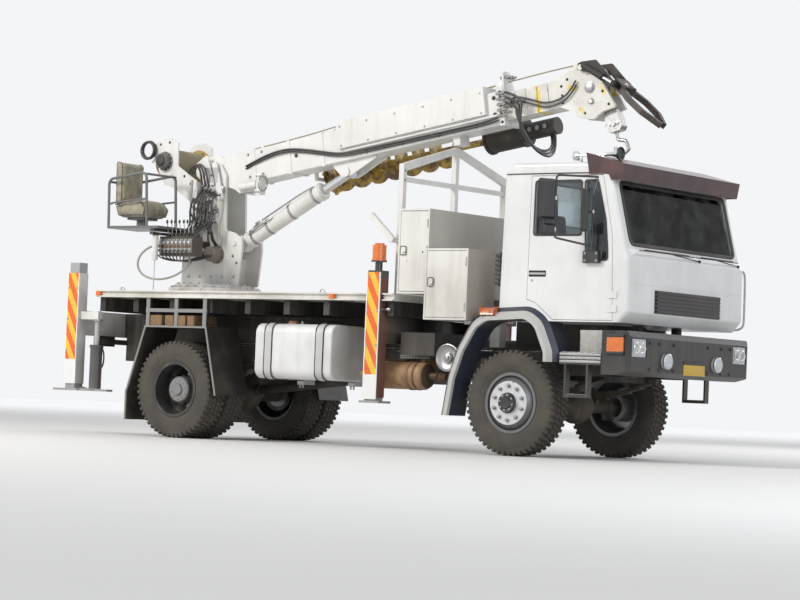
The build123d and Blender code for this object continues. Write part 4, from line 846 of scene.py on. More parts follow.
for word, side in SIDES:
    body, out = "door_" + word, Y * side
    for part, outline in (("main", MAIN_WINDOW), ("quarter", QUARTER_WINDOW)):
        edge = rounded([at(x, side * 1.146, z) for x, z in outline], 0.03)
        strip(f"{part}_window_rubber_{word}", edge, 0.02, 0.008, rubber, body)
    for count, (x, y, z, width, height, depth, turn, swell) in enumerate(HEADS):
        a = math.radians(turn)
        face = Vector((-math.cos(a), -side * math.sin(a), 0))
        across = face.cross(Z)
        middle = at(x, side * y, z) + face * (depth + 0.001)
        rim, glass = (rounded([middle + across * s * (width / 2 - inset) + Z * t * (height / 2 - inset)
                               for s, t in CORNERS], 0.026) for inset in (0.0, 0.01))
        strip(f"mirror_rim_{word}_{count}", rim, 0.012, 0.01, plastic, body)
        mirror_glass(f"mirror_glass_{word}_{count}", glass, middle, face, swell, body)
    clamps = [(at(0.665, side * 1.42, z - 0.022), Z, barrel(0.016, 0.022, 0.044, 0.003))
              for z in (2.6, 2.285)]
    clamps.append((at(0.957, side * 1.178, 2.462), Z, barrel(0.014, 0.019, 0.036, 0.003)))
    turnings("mirror_clamps_" + word, clamps, steel, body, 16)
    bolts("mirror_clamp_bolts_" + word, [at(0.665, side * 1.442, z) for z in (2.612, 2.588, 2.297, 2.273)],
          out, 0.006, 0.008, body)
    bolts("stay_block_bolts_" + word, [at(x, side * 1.198, z) for x in (0.89, 1.026) for z in (1.99, 2.062)],
          out, 0.008, 0.007, body)
    turnings("door_lock_" + word, [(at(0.232, side * 1.144, 1.79), out, DOOR_LOCK)], steel, body, 20)
    tubes("roof_gutter_" + word, [[at(x, side * 1.148, z) for x, z in GUTTER]], 0.0065, black)
    blocks("arch_marker_" + word, [box(-0.325, -0.151, side * 1.17, side * 1.252, 1.434, 1.502)], 0.012,
           orange_lens)

# Intake louvre behind the cab's right corner, horn on the roof and grab rail on the left corner

HORN = ((0, 0.02), (0.006, 0.047), (0.05, 0.052), (0.066, 0.03), (0.09, 0.012), (0.36, 0.014), (0.44, 0.02),
        (0.5, 0.036), (0.545, 0.062), (0.55, 0.062), (0.545, 0.056), (0.5, 0.03), (0.46, 0.012))
HORN_RIM = ((0, 0.06), (0.003, 0.068), (0.02, 0.07), (0.023, 0.066), (0.02, 0.058), (0.01, 0.05))
slats = [box(-0.237, -0.172, -1.135, -1.02, z, z + 0.038) for z in [1.746 + 0.0465 * k for k in range(7)]]
slats.append(box(-0.205, -0.165, -1.125, -1.03, 1.73, 2.08))
blocks("intake_louvre", slats, 0.006, plastic)
horn_rear, horn_front = path((0.46, -0.8, 3.085), (1.03, -0.8, 3.098))
turnings("horn_trumpet", [(horn_rear, horn_front - horn_rear, HORN)], chrome, segments=32)
turnings("horn_bell_rim", [(horn_front - X * 0.024, X, HORN_RIM)], black, segments=32)
blocks("horn_feet", [bar(x, x + 0.03, -0.8, 0.012, 2.985, 3.09) for x in (0.53, 0.8)], 0.003, steel)
tubes("grab_rail", [path(
    (1.275, 1.13, 2.047), (1.285, 1.19, 2.047), (1.35, 1.2, 2.03), (1.368, 1.2, 1.98), (1.372, 1.2, 1.74),
    (1.374, 1.2, 1.49), (1.36, 1.2, 1.44), (1.3, 1.19, 1.409), (1.29, 1.13, 1.409))], 0.012, arch_lip)

# Front: lamps, indicator caps, step treads, blank plate and bumper bolts

LAMP_RIM = ((0, 0.044), (0, 0.056), (0.008, 0.056), (0.012, 0.051), (0.01, 0.044), (0.004, 0.036))
LAMP_DOME = ((0, 0.046), (0.006, 0.042), (0.01, 0.03), (0.012, 0.012))
SPOT_RIM = ((0, 0.069), (0, 0.082), (0.012, 0.083), (0.024, 0.078), (0.0295, 0.068), (0.029, 0.058),
            (0.018, 0.05))
for word, side in SIDES:
    lamps = [at(1.45, side * y, 1.135) for y in (0.945, 1.055)]
    turnings("headlamp_rims_" + word, [(p, X, LAMP_RIM) for p in lamps], chrome, segments=32)
    turnings("headlamp_domes_" + word, [(p, X, LAMP_DOME) for p in lamps], clear_lens, segments=28)
    turnings("spot_lamp_rim_" + word, [(at(1.47, side * 0.5, 1.02), X, SPOT_RIM)], chrome, segments=36)
    blocks("indicator_caps_" + word, [bar(1.194, 1.396, side * 1.203, 0.013, z, z + 0.03)
                                      for z in (1.06, 1.23)], 0.006, plastic)
    bolts("indicator_screws_" + word, [at(x, side * 1.2155, z) for x in (1.215, 1.375)
                                       for z in (1.104, 1.216)], Y * side, 0.005, 0.003)
    tread = [bar(0.645, 1.125, side * 1.05, 0.148, 1.069, 1.0725)]
    for i in range(11):
        x = 0.67 + 0.044 * i
        for j in range(6):
            turn = Matrix.Rotation(math.radians(45 if (i + j) % 2 else -45), 3, "Z")
            tread.append(bar(x - 0.015, x + 0.015, side * (0.93 + 0.048 * j), 0.004, 1.07, 1.0765, turn))
    blocks("step_tread_" + word, tread, 0.001, steel)
    rungs = [bar(0.708 + 0.026 * i, 0.72 + 0.026 * i, side * 1.16, 0.036, 0.649, 0.656) for i in range(10)]
    blocks("hanging_step_tread_" + word, rungs, 0.002, steel)
plate = [box(1.448, 1.456, -0.14, 0.28, 0.9, 1.03)]
plate += [box(1.452, 1.459, -0.148, 0.288, z, z + 0.01) for z in (0.892, 1.028)]
blocks("number_plate", plate, 0.002, plate_mat)
bolts("number_plate_screws", [at(1.456, y, 0.965) for y in (-0.1, 0.24)], X, 0.006, 0.003)
bolts("bumper_bolts", [at(1.45, side * y, z) for side in (-1, 1) for y in (0.34, 0.62, 0.8)
                       for z in (0.93, 1.19)], X, 0.014, 0.01, material=chassis_black)

# Wheels: nuts, hub bolts and valves

# rings of bolts: radius, y, count, first angle, size and height
FRONT_NUTS = ((0.175, 1.143, 10, 0.0, 0.016, 0.026), (0.079, 1.184, 8, 0.2, 0.008, 0.01))
REAR_NUTS = ((0.175, 0.896, 10, 0.0, 0.016, 0.03), (0.104, 1.1055, 10, 0.1, 0.009, 0.01))
for word, side in SIDES:
    for name, axle_x, body, rings in (("front_nuts_", 0.0, "front_wheel_", FRONT_NUTS),
                                      ("rear_nuts_", -WHEELBASE, "rear_wheels_", REAR_NUTS)):
        bm = bmesh.new()
        for radius, y, count, first, size, height in rings:
            for place in round_wheel(radius, side * y, axle_x, count, first):
                bolt(bm, place, Y * side, size, height)
        add(name + word, bm, steel, body + word, smooth=False)
        if name == "front_nuts_":
            valve = path((0.06, side * 1.11, AXLE_Z + 0.232), (0.058, side * 1.135, AXLE_Z + 0.222),
                         (0.054, side * 1.15, AXLE_Z + 0.208))
            tubes("front_valve_" + word, [valve], 0.005, cast, body + word)

# Fuel tank and muffler

TANK_STRAPS = (-3.14, -2.43)
tank_runs = []
for x in [strap + off for strap in TANK_STRAPS for off in (-0.052, 0.052)]:
    chain = rounded(path((x, -1.2095, 0.6955), (x, -1.2095, 1.3045), (x, -0.5605, 1.3045),
                         (x, -0.5605, 0.6955)), 0.105, 8)
    tank_runs.append(chain + [chain[0]])
tubes("tank_strap_rubbers", tank_runs, 0.006, rubber, order=2)
bolts("tank_strap_bolts", [at(x + d, -0.6, 0.652) for x in TANK_STRAPS for d in (-0.02, 0.02)], -Z, 0.01,
      0.03)
CHAIN_LUG = ((0, 0.022), (0.012, 0.022), (0.02, 0.012), (0.032, 0.01))
SENDER = ((0, 0.045), (0.008, 0.045), (0.01, 0.03), (0.026, 0.028), (0.042, 0.01))
turnings("tank_cap_chain_lug", [(at(-2.84, -1.0, 1.298), Z, CHAIN_LUG)], steel, segments=16)
turnings("tank_sender", [(at(-2.62, -0.86, 1.298), Z, SENDER)], cast, segments=20)
feed_line = ((-2.62, -0.86, 1.335), (-2.62, -0.7, 1.37), (-2.6, -0.5, 1.3), (-2.4, -0.44, 1.1),
             (-1.6, -0.44, 1.06))
return_line = ((-2.66, -0.86, 1.32), (-2.67, -0.66, 1.35), (-2.66, -0.48, 1.26), (-2.4, -0.44, 1.06),
               (-1.6, -0.44, 1.02))
tubes("tank_lines", [path(*feed_line), path(*return_line)], 0.007, hose_mat)
turnings("muffler_clamps", [(at(x, -0.9, 0.785), X, barrel(0.147, 0.1515, 0.02, 0)) for x in (-1.86, -1.31)],
         rusty, segments=48)
tail_start, tail_end = path((-1.07, -0.9, 0.785), (-1.0, -0.86, 0.77))
turnings("exhaust_tail", [(tail_start, tail_end - tail_start, (
    (0, 0.043), (0.05, 0.045), (0.075, 0.044), (0.075, 0.038), (0.03, 0.036)))], rusty)

# Along the chassis: pipes and their clips, holed plate and dish

# y, z and the two ends' x of each pipe
RAIL_PIPES = ((-0.4275, 1.085, -5.6, 0.95), (-0.4275, 1.06, -5.6, 0.95), (0.4275, 1.085, -5.6, 0.95),
              (0.4275, 1.055, -5.2, 0.6), (-0.4275, 0.9, -4.0, -1.4))
CLIPS = (-5.4, -4.9, -4.2, -3.6, -3.0, -2.0, -1.4, -0.7, -0.1, 0.45)
count = 18
tubes("rail_pipes", [[at(low + (high - low) * k / count, y + math.copysign(0.003 * (k % 2), y),
                         z + 0.008 * math.sin(k * 1.7)) for k in range(count + 1)]
                     for y, z, low, high in RAIL_PIPES], 0.0065, steel)
blocks("pipe_clips", [bar(x, x + 0.022, s * 0.428, 0.012, 1.04, 1.1) for s in (-1, 1) for x in CLIPS], 0.003,
       cast)


def holed_plate(bm, x0, z0, cell, columns, rows, y, thick):
    """Plate of square cells in X and Z, with round holes in the rows that say 1."""
    ways = [X * math.cos(a) + Z * math.sin(a) for a in angles(8)]
    for i in range(columns):
        for j, pierced in enumerate(rows):
            holes = []
            for d in (-thick / 2, thick / 2):
                middle = at(x0 + cell * (i + 0.5), y + d, z0 + cell * (j + 0.5))
                square = [bm.verts.new(middle + way * (cell / 2 / max(abs(way.x), abs(way.z))))
                          for way in ways]
                if pierced:
                    holes.append([bm.verts.new(middle + way * (0.55 * cell / 2)) for way in ways])
                    join_rings(bm, square, holes[-1])
                else:
                    bm.faces.new(square)
            if pierced:
                join_rings(bm, *holes)


bm = bmesh.new()
holed_plate(bm, -1.87, 0.975, 0.036, 11, (1, 0, 0, 0, 0, 1), -0.5, 0.004)
for x in (-1.86, -1.5):
    slab(bm, *box(x, x + 0.02, -0.5, -0.42, 1.0, 1.03))
bmesh.ops.remove_doubles(bm, verts=bm.verts, dist=0.0002)
add("holed_plate", bm, grey, smooth=False)
dish = at(-0.884, -1.0, 0.984)
turnings("dish", [(dish, -Y, (
    (0.0, 0.05), (-0.05, 0.07), (-0.05, 0.12), (-0.03, 0.138), (0.0, 0.145), (0.01, 0.144), (0.012, 0.138),
    (-0.006, 0.12), (-0.022, 0.078), (-0.02, 0.05), (0.006, 0.042), (0.01, 0.03), (0.022, 0.024),
    (0.026, 0.008)))], steel, segments=48)
turnings("dish_back", [(dish + Y * 0.04, Y, ((0, 0.118), (0.02, 0.126), (0.09, 0.12), (0.12, 0.085)))],
         chassis_black, segments=40)
dish_stem = [dish + Y * 0.14, dish + Y * 0.3 + Z * 0.01, dish + Y * 0.58 + Z * 0.02]
tubes("dish_bracket", [dish_stem], 0.022, chassis_black)

# Timber packing in the rack, each block tilted a little

random.seed(7)
packing = []
for low_x, high_x in ((-4.882, -4.714), (-4.662, -4.542), (-4.468, -4.361), (-4.332, -4.237)):
    tilt = Matrix.Rotation(math.radians(random.uniform(-1.5, 1.5)), 3, "Y")
    packing.append(box(low_x, high_x, -1.196, -0.8, 1.251, 1.365, tilt))
blocks("timber_packing", packing, 0.006, timber)

# Rear: tail lamps, brakes, leg pins and jacks

CHAMBER = ((0, 0.03), (0.02, 0.06), (0.03, 0.072), (0.1, 0.076), (0.11, 0.084), (0.125, 0.084),
           (0.135, 0.076), (0.21, 0.07), (0.24, 0.04))
LEG_PIN = ((0, 0.026), (0.012, 0.026), (0.016, 0.014), (0.075, 0.014), (0.08, 0.024), (0.1, 0.024),
           (0.112, 0.012))
JACK_ROD = barrel(0.022, 0.025, 0.75, 0.004)
JACK_COLLAR = ((0, 0.036), (0, 0.062), (0.016, 0.062), (0.02, 0.05))
for word, side in SIDES:
    blocks("tail_lamp_back_" + word, [bar(-5.965, -5.945, side * 0.78, 0.17, 1.005, 1.125)], 0.008, plastic)
    blocks("tail_lamps_" + word, [bar(-5.985, -5.96, side * y, 0.048, 1.018, 1.112) for y in (0.67, 0.78)],
           0.012, red_lens)
    blocks("tail_indicator_" + word, [bar(-5.985, -5.96, side * 0.89, 0.048, 1.018, 1.112)], 0.012,
           orange_lens)
    blocks("tail_bar_" + word, [bar(-5.945, -5.925, side * 0.68, 0.27, 1.03, 1.09)], 0.005, chassis_black)
    brake_hoses = [path((x, side * 0.46, 1.02), (x, side * 0.52, 0.92), (x + 0.02, side * 0.55, 0.78),
                        (x + 0.01, side * 0.52, 0.66)) for x in (-4.62, -4.38)]
    tubes("rear_brake_hoses_" + word, brake_hoses, 0.008, hose_mat)
    turnings("rear_brake_chambers_" + word, [(at(-4.3, side * 0.56, 0.62), (0.28, 0, 0.08), CHAMBER)],
             chassis_black, segments=28)
    for place, x, z in (("front", -1.71, 1.47), ("rear", -6.05, 1.32)):
        turnings(f"leg_pin_{place}_{word}", [(at(x + 0.07, side * 1.16, z), X, LEG_PIN)], steel, segments=20)
        bolts(f"leg_collar_bolts_{place}_{word}", [at(x + dx, side * 1.2435, z + dz) for dx in (-0.065, 0.065)
                                                   for dz in (-0.38, -0.02, 0.34)], Y * side, 0.008, 0.004)
    leg = "outrigger_leg_rear_" + word
    jack_hoses = [path((x, side * 1.1, 0.985), (x + bend, side * 1.075, 0.95), (x + bend, side * 1.072, 0.78),
                       (x, side * 1.095, low)) for x, bend, low in ((-5.7, 0.02, 0.74), (-5.74, -0.02, 0.7))]
    tubes("jack_hoses_" + word, jack_hoses, 0.009, hose_mat, leg)
    turnings("jack_inner_rod_" + word, [(at(-5.72, side * 1.16, 0.6), Z, JACK_ROD)], chrome, leg)
    turnings("jack_collar_" + word, [(at(-5.72, side * 1.16, 1.285), Z, JACK_COLLAR)], steel, segments=28)
    cable = [at(x, side * 1.19, 1.553) for x in (-5.6, -4.8, -3.9, -3.0, -2.0)]
    tubes("marker_cable_" + word, [cable], 0.005, hose_mat)

# Deck: lashing rings and bolts under and on the slewing ring


def round_turret(radius, count, z):
    """Points round the turret's upright axis."""
    return [at(-4.97 + radius * math.cos(a), radius * math.sin(a), z) for a in angles(count)]


deck_rings = [(x, s * 1.15) for s in (-1, 1) for x in (-5.4, -4.2, -3.4, -2.5)]
blocks("deck_rings", [bar(x, x + 0.07, y, 0.03, 1.6395, 1.646) for x, y in deck_rings], 0.002, steel)
tubes("deck_ring_loops", [[at(x + 0.035 + 0.03 * math.cos(a), y, 1.646 + 0.032 * math.sin(a))
                           for a in angles(12)[:7]] for x, y in deck_rings], 0.006, steel)
bolts("slewing_bolts", round_turret(0.505, 28, 1.72), Z, 0.014, 0.018)
bolts("turret_bolts", round_turret(0.44, 24, 1.7605), Z, 0.012, 0.016, "turret")

# Cabinet and lower box: hinges, latches and locks

HINGE = barrel(0.007, 0.009, 0.09, 0.002)
LOCK = ((0, 0.012), (0.004, 0.012), (0.006, 0.008))
BUTTON = ((0, 0.01), (0.001, 0.01), (0.002, 0.006))


def latch_frame(name, x0, x1, y, z0, z1, body):
    """Thin frame round a latch on a door's face."""
    outline = path((x0, y, z0), (x0, y, z1), (x1, y, z1), (x1, y, z0))
    strip(name, rounded(outline, 0.008), 0.008, 0.004, black, body)


for word, side in SIDES:
    body, out = "cabinet_door_" + word, Y * side
    hinges = [(at(-1.0603, side * 1.2, z), Z, HINGE) for z in (1.76, 2.05, 2.33)]
    turnings("cabinet_hinges_" + word, hinges, steel, segments=14)
    latch_frame("cabinet_latch_frame_" + word, -1.398, -1.327, side * 1.2125, 2.046, 2.134, body)
    turnings("cabinet_lock_" + word, [(at(-1.35, side * 1.2115, 2.072), out, LOCK)], steel, body, 18)
    turnings("cabinet_button_" + word, [(at(-1.115, side * 1.1995, 2.075), out, BUTTON)], black, body, 16)
turnings("lower_box_hinges", [(at(-0.5153, -1.25, z), Z, HINGE) for z in (1.46, 1.93)], steel, segments=14)
latch_frame("lower_box_latch", -0.988, -0.922, -1.2625, 1.717, 1.803, "box_door")
turnings("lower_box_lock", [(at(-0.945, -1.2615, 1.742), -Y, LOCK)], steel, "box_door", 18)
bolts("headboard_bolts", [at(-1.569, y, z) for y in (-0.95, 0.95) for z in (2.2, 2.86, 2.96)], X, 0.009,
      0.008)

# Boom: side hoses, clips, bolts and wear pads

PAD_PLUG = ((0, 0.022), (0.01, 0.022), (0.015, 0.014))
# along the boom, above its line and out from its middle
BOOM_HOSE = ((0.46, 0.03, 0.156), (0.75, 0.1, 0.168), (1.07, 0.12, 0.17), (1.35, 0.06, 0.17),
             (1.62, -0.02, 0.17), (1.85, -0.085, 0.168), (2.2, -0.095, 0.166), (2.94, -0.1, 0.166),
             (3.9, -0.105, 0.166), (4.00, -0.09, 0.18))
for word, side in SIDES:
    out = Y * side
    hoses = [[on_boom(u, v + d, side * (y + 0.004)) for u, v, y in BOOM_HOSE] for d in (0.0, -0.028)]
    tubes("boom_hoses_" + word, hoses, 0.011, hose_mat, "boom")
    reach = 0.034 if side > 0 else 0.004
    clips = [around(on_boom(u, v, side * 0.15), (0.012, 0.004, 0.035), (0.012, reach, 0.035))
             for u, v in ((2.2, -0.11), (2.7, -0.11), (3.2, -0.115), (3.7, -0.118))]
    blocks("boom_hose_clips_" + word, clips, 0.003, steel, "boom")
    bolts("cover_bolts_" + word, [on_boom(u, v, side * 0.1955) for u in (1.88, 2.26, 2.65, 3.04, 3.42, 3.8)
                                  for v in (0.0, 0.22)], out, 0.009, 0.007, "boom")
    bolts("mouth_bolts_" + word, [on_boom(4.04, v, side * 0.1625) for v in (-0.14, -0.05, 0.04, 0.13, 0.19)],
          out, 0.011, 0.01, "boom", cast)
    bolts("root_bolts_" + word, [on_boom(u, v, side * 0.15) for u in (0.5, 0.7) for v in (-0.1, 0.16)], out,
          0.012, 0.01, "boom")
    turnings("wear_pad_plugs_" + word, [(on_boom(u, v, side * 0.149), out, PAD_PLUG) for u, v in (
        (1.2, 0.02), (3.95, 0.14), (3.95, -0.04))], cast, "boom", 18)

# Boom's mouth: plate, couplings and hoses that drop to the auger's drive

MOUTH = ((-0.1, 0.206), (0.1, 0.206), (0.1, 0.36), (0.085, 0.4), (0.045, 0.425), (-0.045, 0.425),
         (-0.085, 0.4), (-0.1, 0.36))
COUPLING = ((0, 0.012), (0.01, 0.018), (0.05, 0.018), (0.052, 0.014), (0.072, 0.014), (0.074, 0.02),
            (0.105, 0.02), (0.11, 0.012), (0.13, 0.011))
bm = bmesh.new()
near, far = ([bm.verts.new(on_boom(u, v, y)) for y, v in MOUTH] for u in (4.045, 4.061))
bm.faces.new(near)
bm.faces.new(far)
join_rings(bm, near, far)
for y in (-0.085, 0.085):
    slab(bm, on_boom(3.94, 0.215, y) - Vector((0, 0.006, 0.02)), on_boom(4.05, 0.3, y) + Y * 0.006,
         Matrix.Rotation(-BOOM_RISE, 3, "Y"))
soften(bm, 0.004)
add("mouth_plate", bm, white_worn, "boom")
sockets = [(-0.178, v) for v in (0.17, 0.11, 0.05, -0.01, -0.07)] + [(y, 0.36) for y in (-0.06, 0.0, 0.06)]
turnings("mouth_couplings", [(on_boom(4.0, v, y), ALONG, COUPLING) for y, v in sockets], steel, "boom", 6)
drops = []
for k in range(3):
    drive_port = on_boom(4.3, -0.17, 0.42) + Vector((-0.03 + 0.04 * k, 0.02 - 0.02 * k, -0.09))
    hanging = path((-0.6 - 0.03 * k, -0.235, 3.8 - 0.05 * k), (-0.6 - 0.03 * k, -0.25, 3.62),
                   (-0.61 + 0.02 * k, -0.24, 3.45), (-0.55 + 0.03 * k, -0.16, 3.32 - 0.03 * k),
                   (-0.5 + 0.03 * k, 0.0, 3.24 - 0.03 * k), (-0.5 + 0.02 * k, 0.18, 3.26 - 0.03 * k),
                   (-0.56 + 0.02 * k, 0.34, 3.36 - 0.02 * k))
    drops.append([on_boom(4.12, 0.17 - 0.06 * k, -0.178)] + hanging + [drive_port])
tubes("drop_hoses", drops, 0.014, hose_mat, "boom")

# Rope along the boom and round the head, with its guides


def boom_arc(u, v, radius, degrees):
    """Points round a cross axle on the boom."""
    return [on_boom(u + radius * math.cos(a), v + radius * math.sin(a)) for a in map(math.radians, degrees)]


tubes("boom_rope", [boom_path((0.46, 0.245), (1.2, 0.252), (1.8, 0.285), (1.93, 0.3), (2.9, 0.3), (3.84, 0.3),
                              (4.06, 0.312))], 0.0075, rope_mat, "boom")
blocks("rope_guides", [around(on_boom(u, v, s * 0.02), (0.03, 0.006, 0.01), (0.03, 0.006, 0.045))
                       for u, v in ((0.6, 0.205), (1.7, 0.212), (2.4, 0.282), (3.3, 0.282)) for s in (-1, 1)],
       0.003, steel, "boom")
SHEAVE = (5.085, 0.242)
head_rope = boom_path((2.0, 0.3), (3.84, 0.3), (4.06, 0.312), (4.6, 0.32))
head_rope += boom_arc(*SHEAVE, 0.0735, range(90, -23, -14)) + boom_arc(5.15, 0.02, 0.16, (48, 30, 15, 2))
tubes("head_rope", [head_rope], 0.0075, rope_mat, "inner_boom", order=2)

# Inner boom: hoses, bolts, pin collars and rope keeper

tubes("inner_boom_hoses", [boom_path(
    (4.14, 0.05 - d, -0.112), (4.17, 0.075 - d, -0.155), (4.25, 0.1 - d, -0.16), (4.45, 0.02 - d, -0.162),
    (4.6, -0.05 - d, -0.15), (4.8, -0.04 - d, -0.146), (4.93, 0.03 - d, -0.15), (5.0, 0.12 - d, -0.15))
    for d in (0.0, 0.045)], 0.01, hose_mat, "inner_boom")
HEAD_BOLTS = ((4.8, 0.1), (4.8, 0.0), (4.8, -0.08), (4.88, 0.16), (5.3, -0.05), (5.36, -0.2), (5.06, -0.24))
bolts("head_bolts", [on_boom(u, v, s * 0.1245) for s in (-1, 1) for u, v in HEAD_BOLTS], -Y, 0.01, 0.009,
      "inner_boom", cast)
collars = []
for s in (-1, 1):
    for u, v, r in ((5.15, 0.02, 0.05), (5.153, -0.132, 0.026)):
        profile = ((0, r * 1.25), (0.006, r * 1.25), (0.01, r), (0.02, r), (0.024, r * 0.8))
        collars.append((on_boom(u, v, s * 0.124), Y * s, profile))
turnings("head_pin_collars", collars, steel, "inner_boom", 28)
keeper = boom_arc(*SHEAVE, 0.075, range(150, 9, -10))
tubes("rope_keeper", [[p + Y * y for p in keeper] for y in (-0.06, 0.06)], 0.008, black, "inner_boom")

# Claw: tilting cylinder, pin heads and teeth

cylinder_low, cylinder_high = boom_path((5.46, 0.0, -0.19), (5.12, 0.262, -0.19))
cylinder_way = (cylinder_low - cylinder_high).normalized()
reach = (cylinder_low - cylinder_high).length
CYLINDER = ((0, 0.016), (0.006, 0.026), (0.03, 0.034), (0.05, 0.036), (0.26, 0.036), (0.265, 0.041),
            (0.3, 0.041), (0.305, 0.03))
turnings("claw_cylinder", [(cylinder_high, cylinder_way, CYLINDER)], cast, "claw", 28)
rod = ((0, 0.016), (0.145, 0.016), (0.15, 0.022), (reach - 0.28, 0.022))
turnings("claw_cylinder_rod", [(cylinder_high + cylinder_way * 0.28, cylinder_way, rod)], chrome, "claw")
claw_down = math.radians(-50)
claw_along = ALONG * math.cos(claw_down) + ABOVE * math.sin(claw_down)
claw_up = claw_along.cross(Y).normalized()
claw_root = on_boom(5.5, -0.05)
CLAW_PIN = ((0, 0.024), (0.01, 0.024), (0.013, 0.015), (0.022, 0.013))
pins = [(claw_root + claw_along * 0.02 + Y * s * 0.06 + claw_up * 0.048, claw_up, CLAW_PIN) for s in (-1, 1)]
turnings("claw_pin_heads", pins, steel, "claw", 20)
# distance from the pins and out from the middle
TEETH = ((0.26, 0.15), (0.33, 0.149), (0.4, 0.148), (0.47, 0.128), (0.54, 0.1))
for word, side in SIDES:
    half = (0.01, 0.01, 0.01)
    teeth = [around(claw_root + claw_along * d + Y * side * w, half, half, Matrix.Rotation(0.78, 3, "Y"))
             for d, w in TEETH]
    blocks("claw_teeth_" + word, teeth, 0.003, rusty, "claw_arm_" + word)

# Auger drive: flange bolts and ports

for u, r in ((3.45, 0.14), (3.95, 0.15)):
    places = [on_boom(u - 0.001, -0.17 + r * math.cos(a), 0.455 + r * math.sin(a)) for a in angles(12)]
    bolts(f"drive_bolts_{round(u * 100)}", places, -ALONG, 0.01, 0.012, "boom")
PORT = ((0, 0.022), (0.02, 0.022), (0.022, 0.028), (0.03, 0.028))
turnings("drive_ports", [(on_boom(u, -0.17, 0.36), -Y, PORT) for u in (4.05, 4.15, 4.25)], steel, "boom", 6)

# Winch: rope on the drum, motor, hose ring and the plates' rings, bolts and holes

WINCH_X, WINCH_Z = -5.555, 3.2
turns, steps = 30, 20
rope_points = []
for way, radius in ((1, 0.128), (-1, 0.1425)):
    for k in range(turns * steps + 1):
        a = 2 * math.pi * k / steps
        y = way * (0.496 * k / (turns * steps) - 0.248)
        rope_points.append(at(WINCH_X + radius * math.sin(a), y, WINCH_Z + radius * math.cos(a)))
tubes("winch_rope", [rope_points], 0.0082, rope_mat, "winch_drum", order=2)
bolts("winch_motor_bolts", round_wheel(0.102, -0.326, WINCH_X, 12, z=WINCH_Z), -Y, 0.008, 0.009, "turret")
MOTOR_CAP = ((0, 0.08), (0.01, 0.078), (0.014, 0.06), (0.028, 0.056), (0.034, 0.03), (0.034, 0.01))
turnings("winch_motor_cap", [(at(WINCH_X, -0.384, WINCH_Z), -Y, MOTOR_CAP)], cast, "turret", 36)
ring = [at(-5.8 + 0.098 * math.cos(a), -0.33, 3.335 + 0.098 * math.sin(a)) for a in angles(28)]
ring.append(ring[0])
tubes("winch_hose_ring", [ring, [p + Vector((0.004, -0.03, -0.006)) for p in ring]], 0.016, hose_mat,
      "turret", order=2)
PLATE_RING = ((0, 0.1), (0, 0.15), (0.004, 0.15), (0.005, 0.1))
PLATE_HOLE = ((0, 0.016), (0.002, 0.016), (0.003, 0.012))
turnings("winch_plate_ring", [(at(WINCH_X, 0.311, WINCH_Z), Y, PLATE_RING)], steel, "turret", 48)
bolts("winch_plate_bolts", round_wheel(0.135, 0.315, WINCH_X, 12, z=WINCH_Z), Y, 0.009, 0.009, "turret")
holes = [(at(x, s * 0.3095, z), Y * s, PLATE_HOLE) for s in (-1, 1)
         for x, z in ((-5.64, 3.4), (-5.5, 3.42), (-5.25, 3.02), (-5.15, 2.93))]
turnings("winch_plate_holes", holes, black, "turret", 18)

# Turret: hoses in order, their fittings, and a crowd of short ones between


def fitting(place, axis, size=0.012):
    """Hexagonal hose end along an axis."""
    steps = ((0, 1), (1, 1.35), (2.4, 1.35), (2.5, 1), (3.4, 1), (3.5, 1.25), (4.6, 1.25), (5, 0.9))
    return place, axis, [(size * d, size * r) for d, r in steps]


# x and z along each pale hose
PALE_HOSES = (((-5.118, 2.6), (-5.178, 2.427), (-5.134, 2.2), (-5.02, 2.1)),
              ((-4.947, 2.678), (-4.926, 2.5), (-4.936, 2.36)),
              ((-4.671, 2.728), (-4.646, 2.596), (-4.714, 2.424), (-4.702, 2.28)),
              ((-5.122, 2.974), (-5.131, 2.8), (-5.121, 2.653)))
tubes("turret_hoses_pale", [[at(x, -0.255 - 0.02 * k, z) for x, z in run]
                            for k, run in enumerate(PALE_HOSES)], 0.014, hose_pale, "turret")
dark_hoses = []
for k in range(7):
    x = -5.08 + 0.055 * k
    dark_hoses.append(path(
        (x, -0.215, 2.92 - 0.02 * k), (x - 0.02, -0.3 - 0.01 * k, 2.8), (x - 0.05, -0.33, 2.62),
        (x - 0.02, -0.34 - 0.01 * (k % 3), 2.46), (x + 0.01, -0.45 - 0.02 * k, 2.36),
        (-5.09 + 0.062 * k, -0.62, 2.33), (-5.082 + 0.062 * k, -0.7, 2.285)))
tubes("turret_hoses", dark_hoses, 0.011, hose_mat, "turret")
tubes("turret_hoses_upper", [path((-5.2 + 0.04 * k, -0.29, 3.05), (-5.14 + 0.04 * k, -0.31, 3.16 + 0.01 * k),
                                  (-5.03 + 0.04 * k, -0.3, 3.12), (-5.02 + 0.045 * k, -0.27, 2.98),
                                  (-5.04 + 0.05 * k, -0.22, 2.88)) for k in range(3)], 0.012, hose_mat,
      "turret")
CHEEK_PORTS = ((-5.02, 2.78), (-4.95, 2.72), (-4.86, 2.8), (-4.98, 2.6), (-4.9, 2.58), (-4.82, 2.62))
fittings = [fitting(at(-5.08 + 0.055 * k, -0.192, 2.93 - 0.02 * k), -Y) for k in range(7)]
fittings += [fitting(at(-5.13 + 0.0455 * k, -0.24, 2.665 - 0.012 * (k % 2)), (0.1, -0.2, -1), 0.011)
             for k in range(6)]
fittings += [fitting(at(x, -0.2, z), (0, -1, -0.3), 0.013) for x, z in CHEEK_PORTS]
turnings("turret_fittings", fittings, steel, "turret", 6)
random.seed(11)
crowd, crowd_runs = [], []
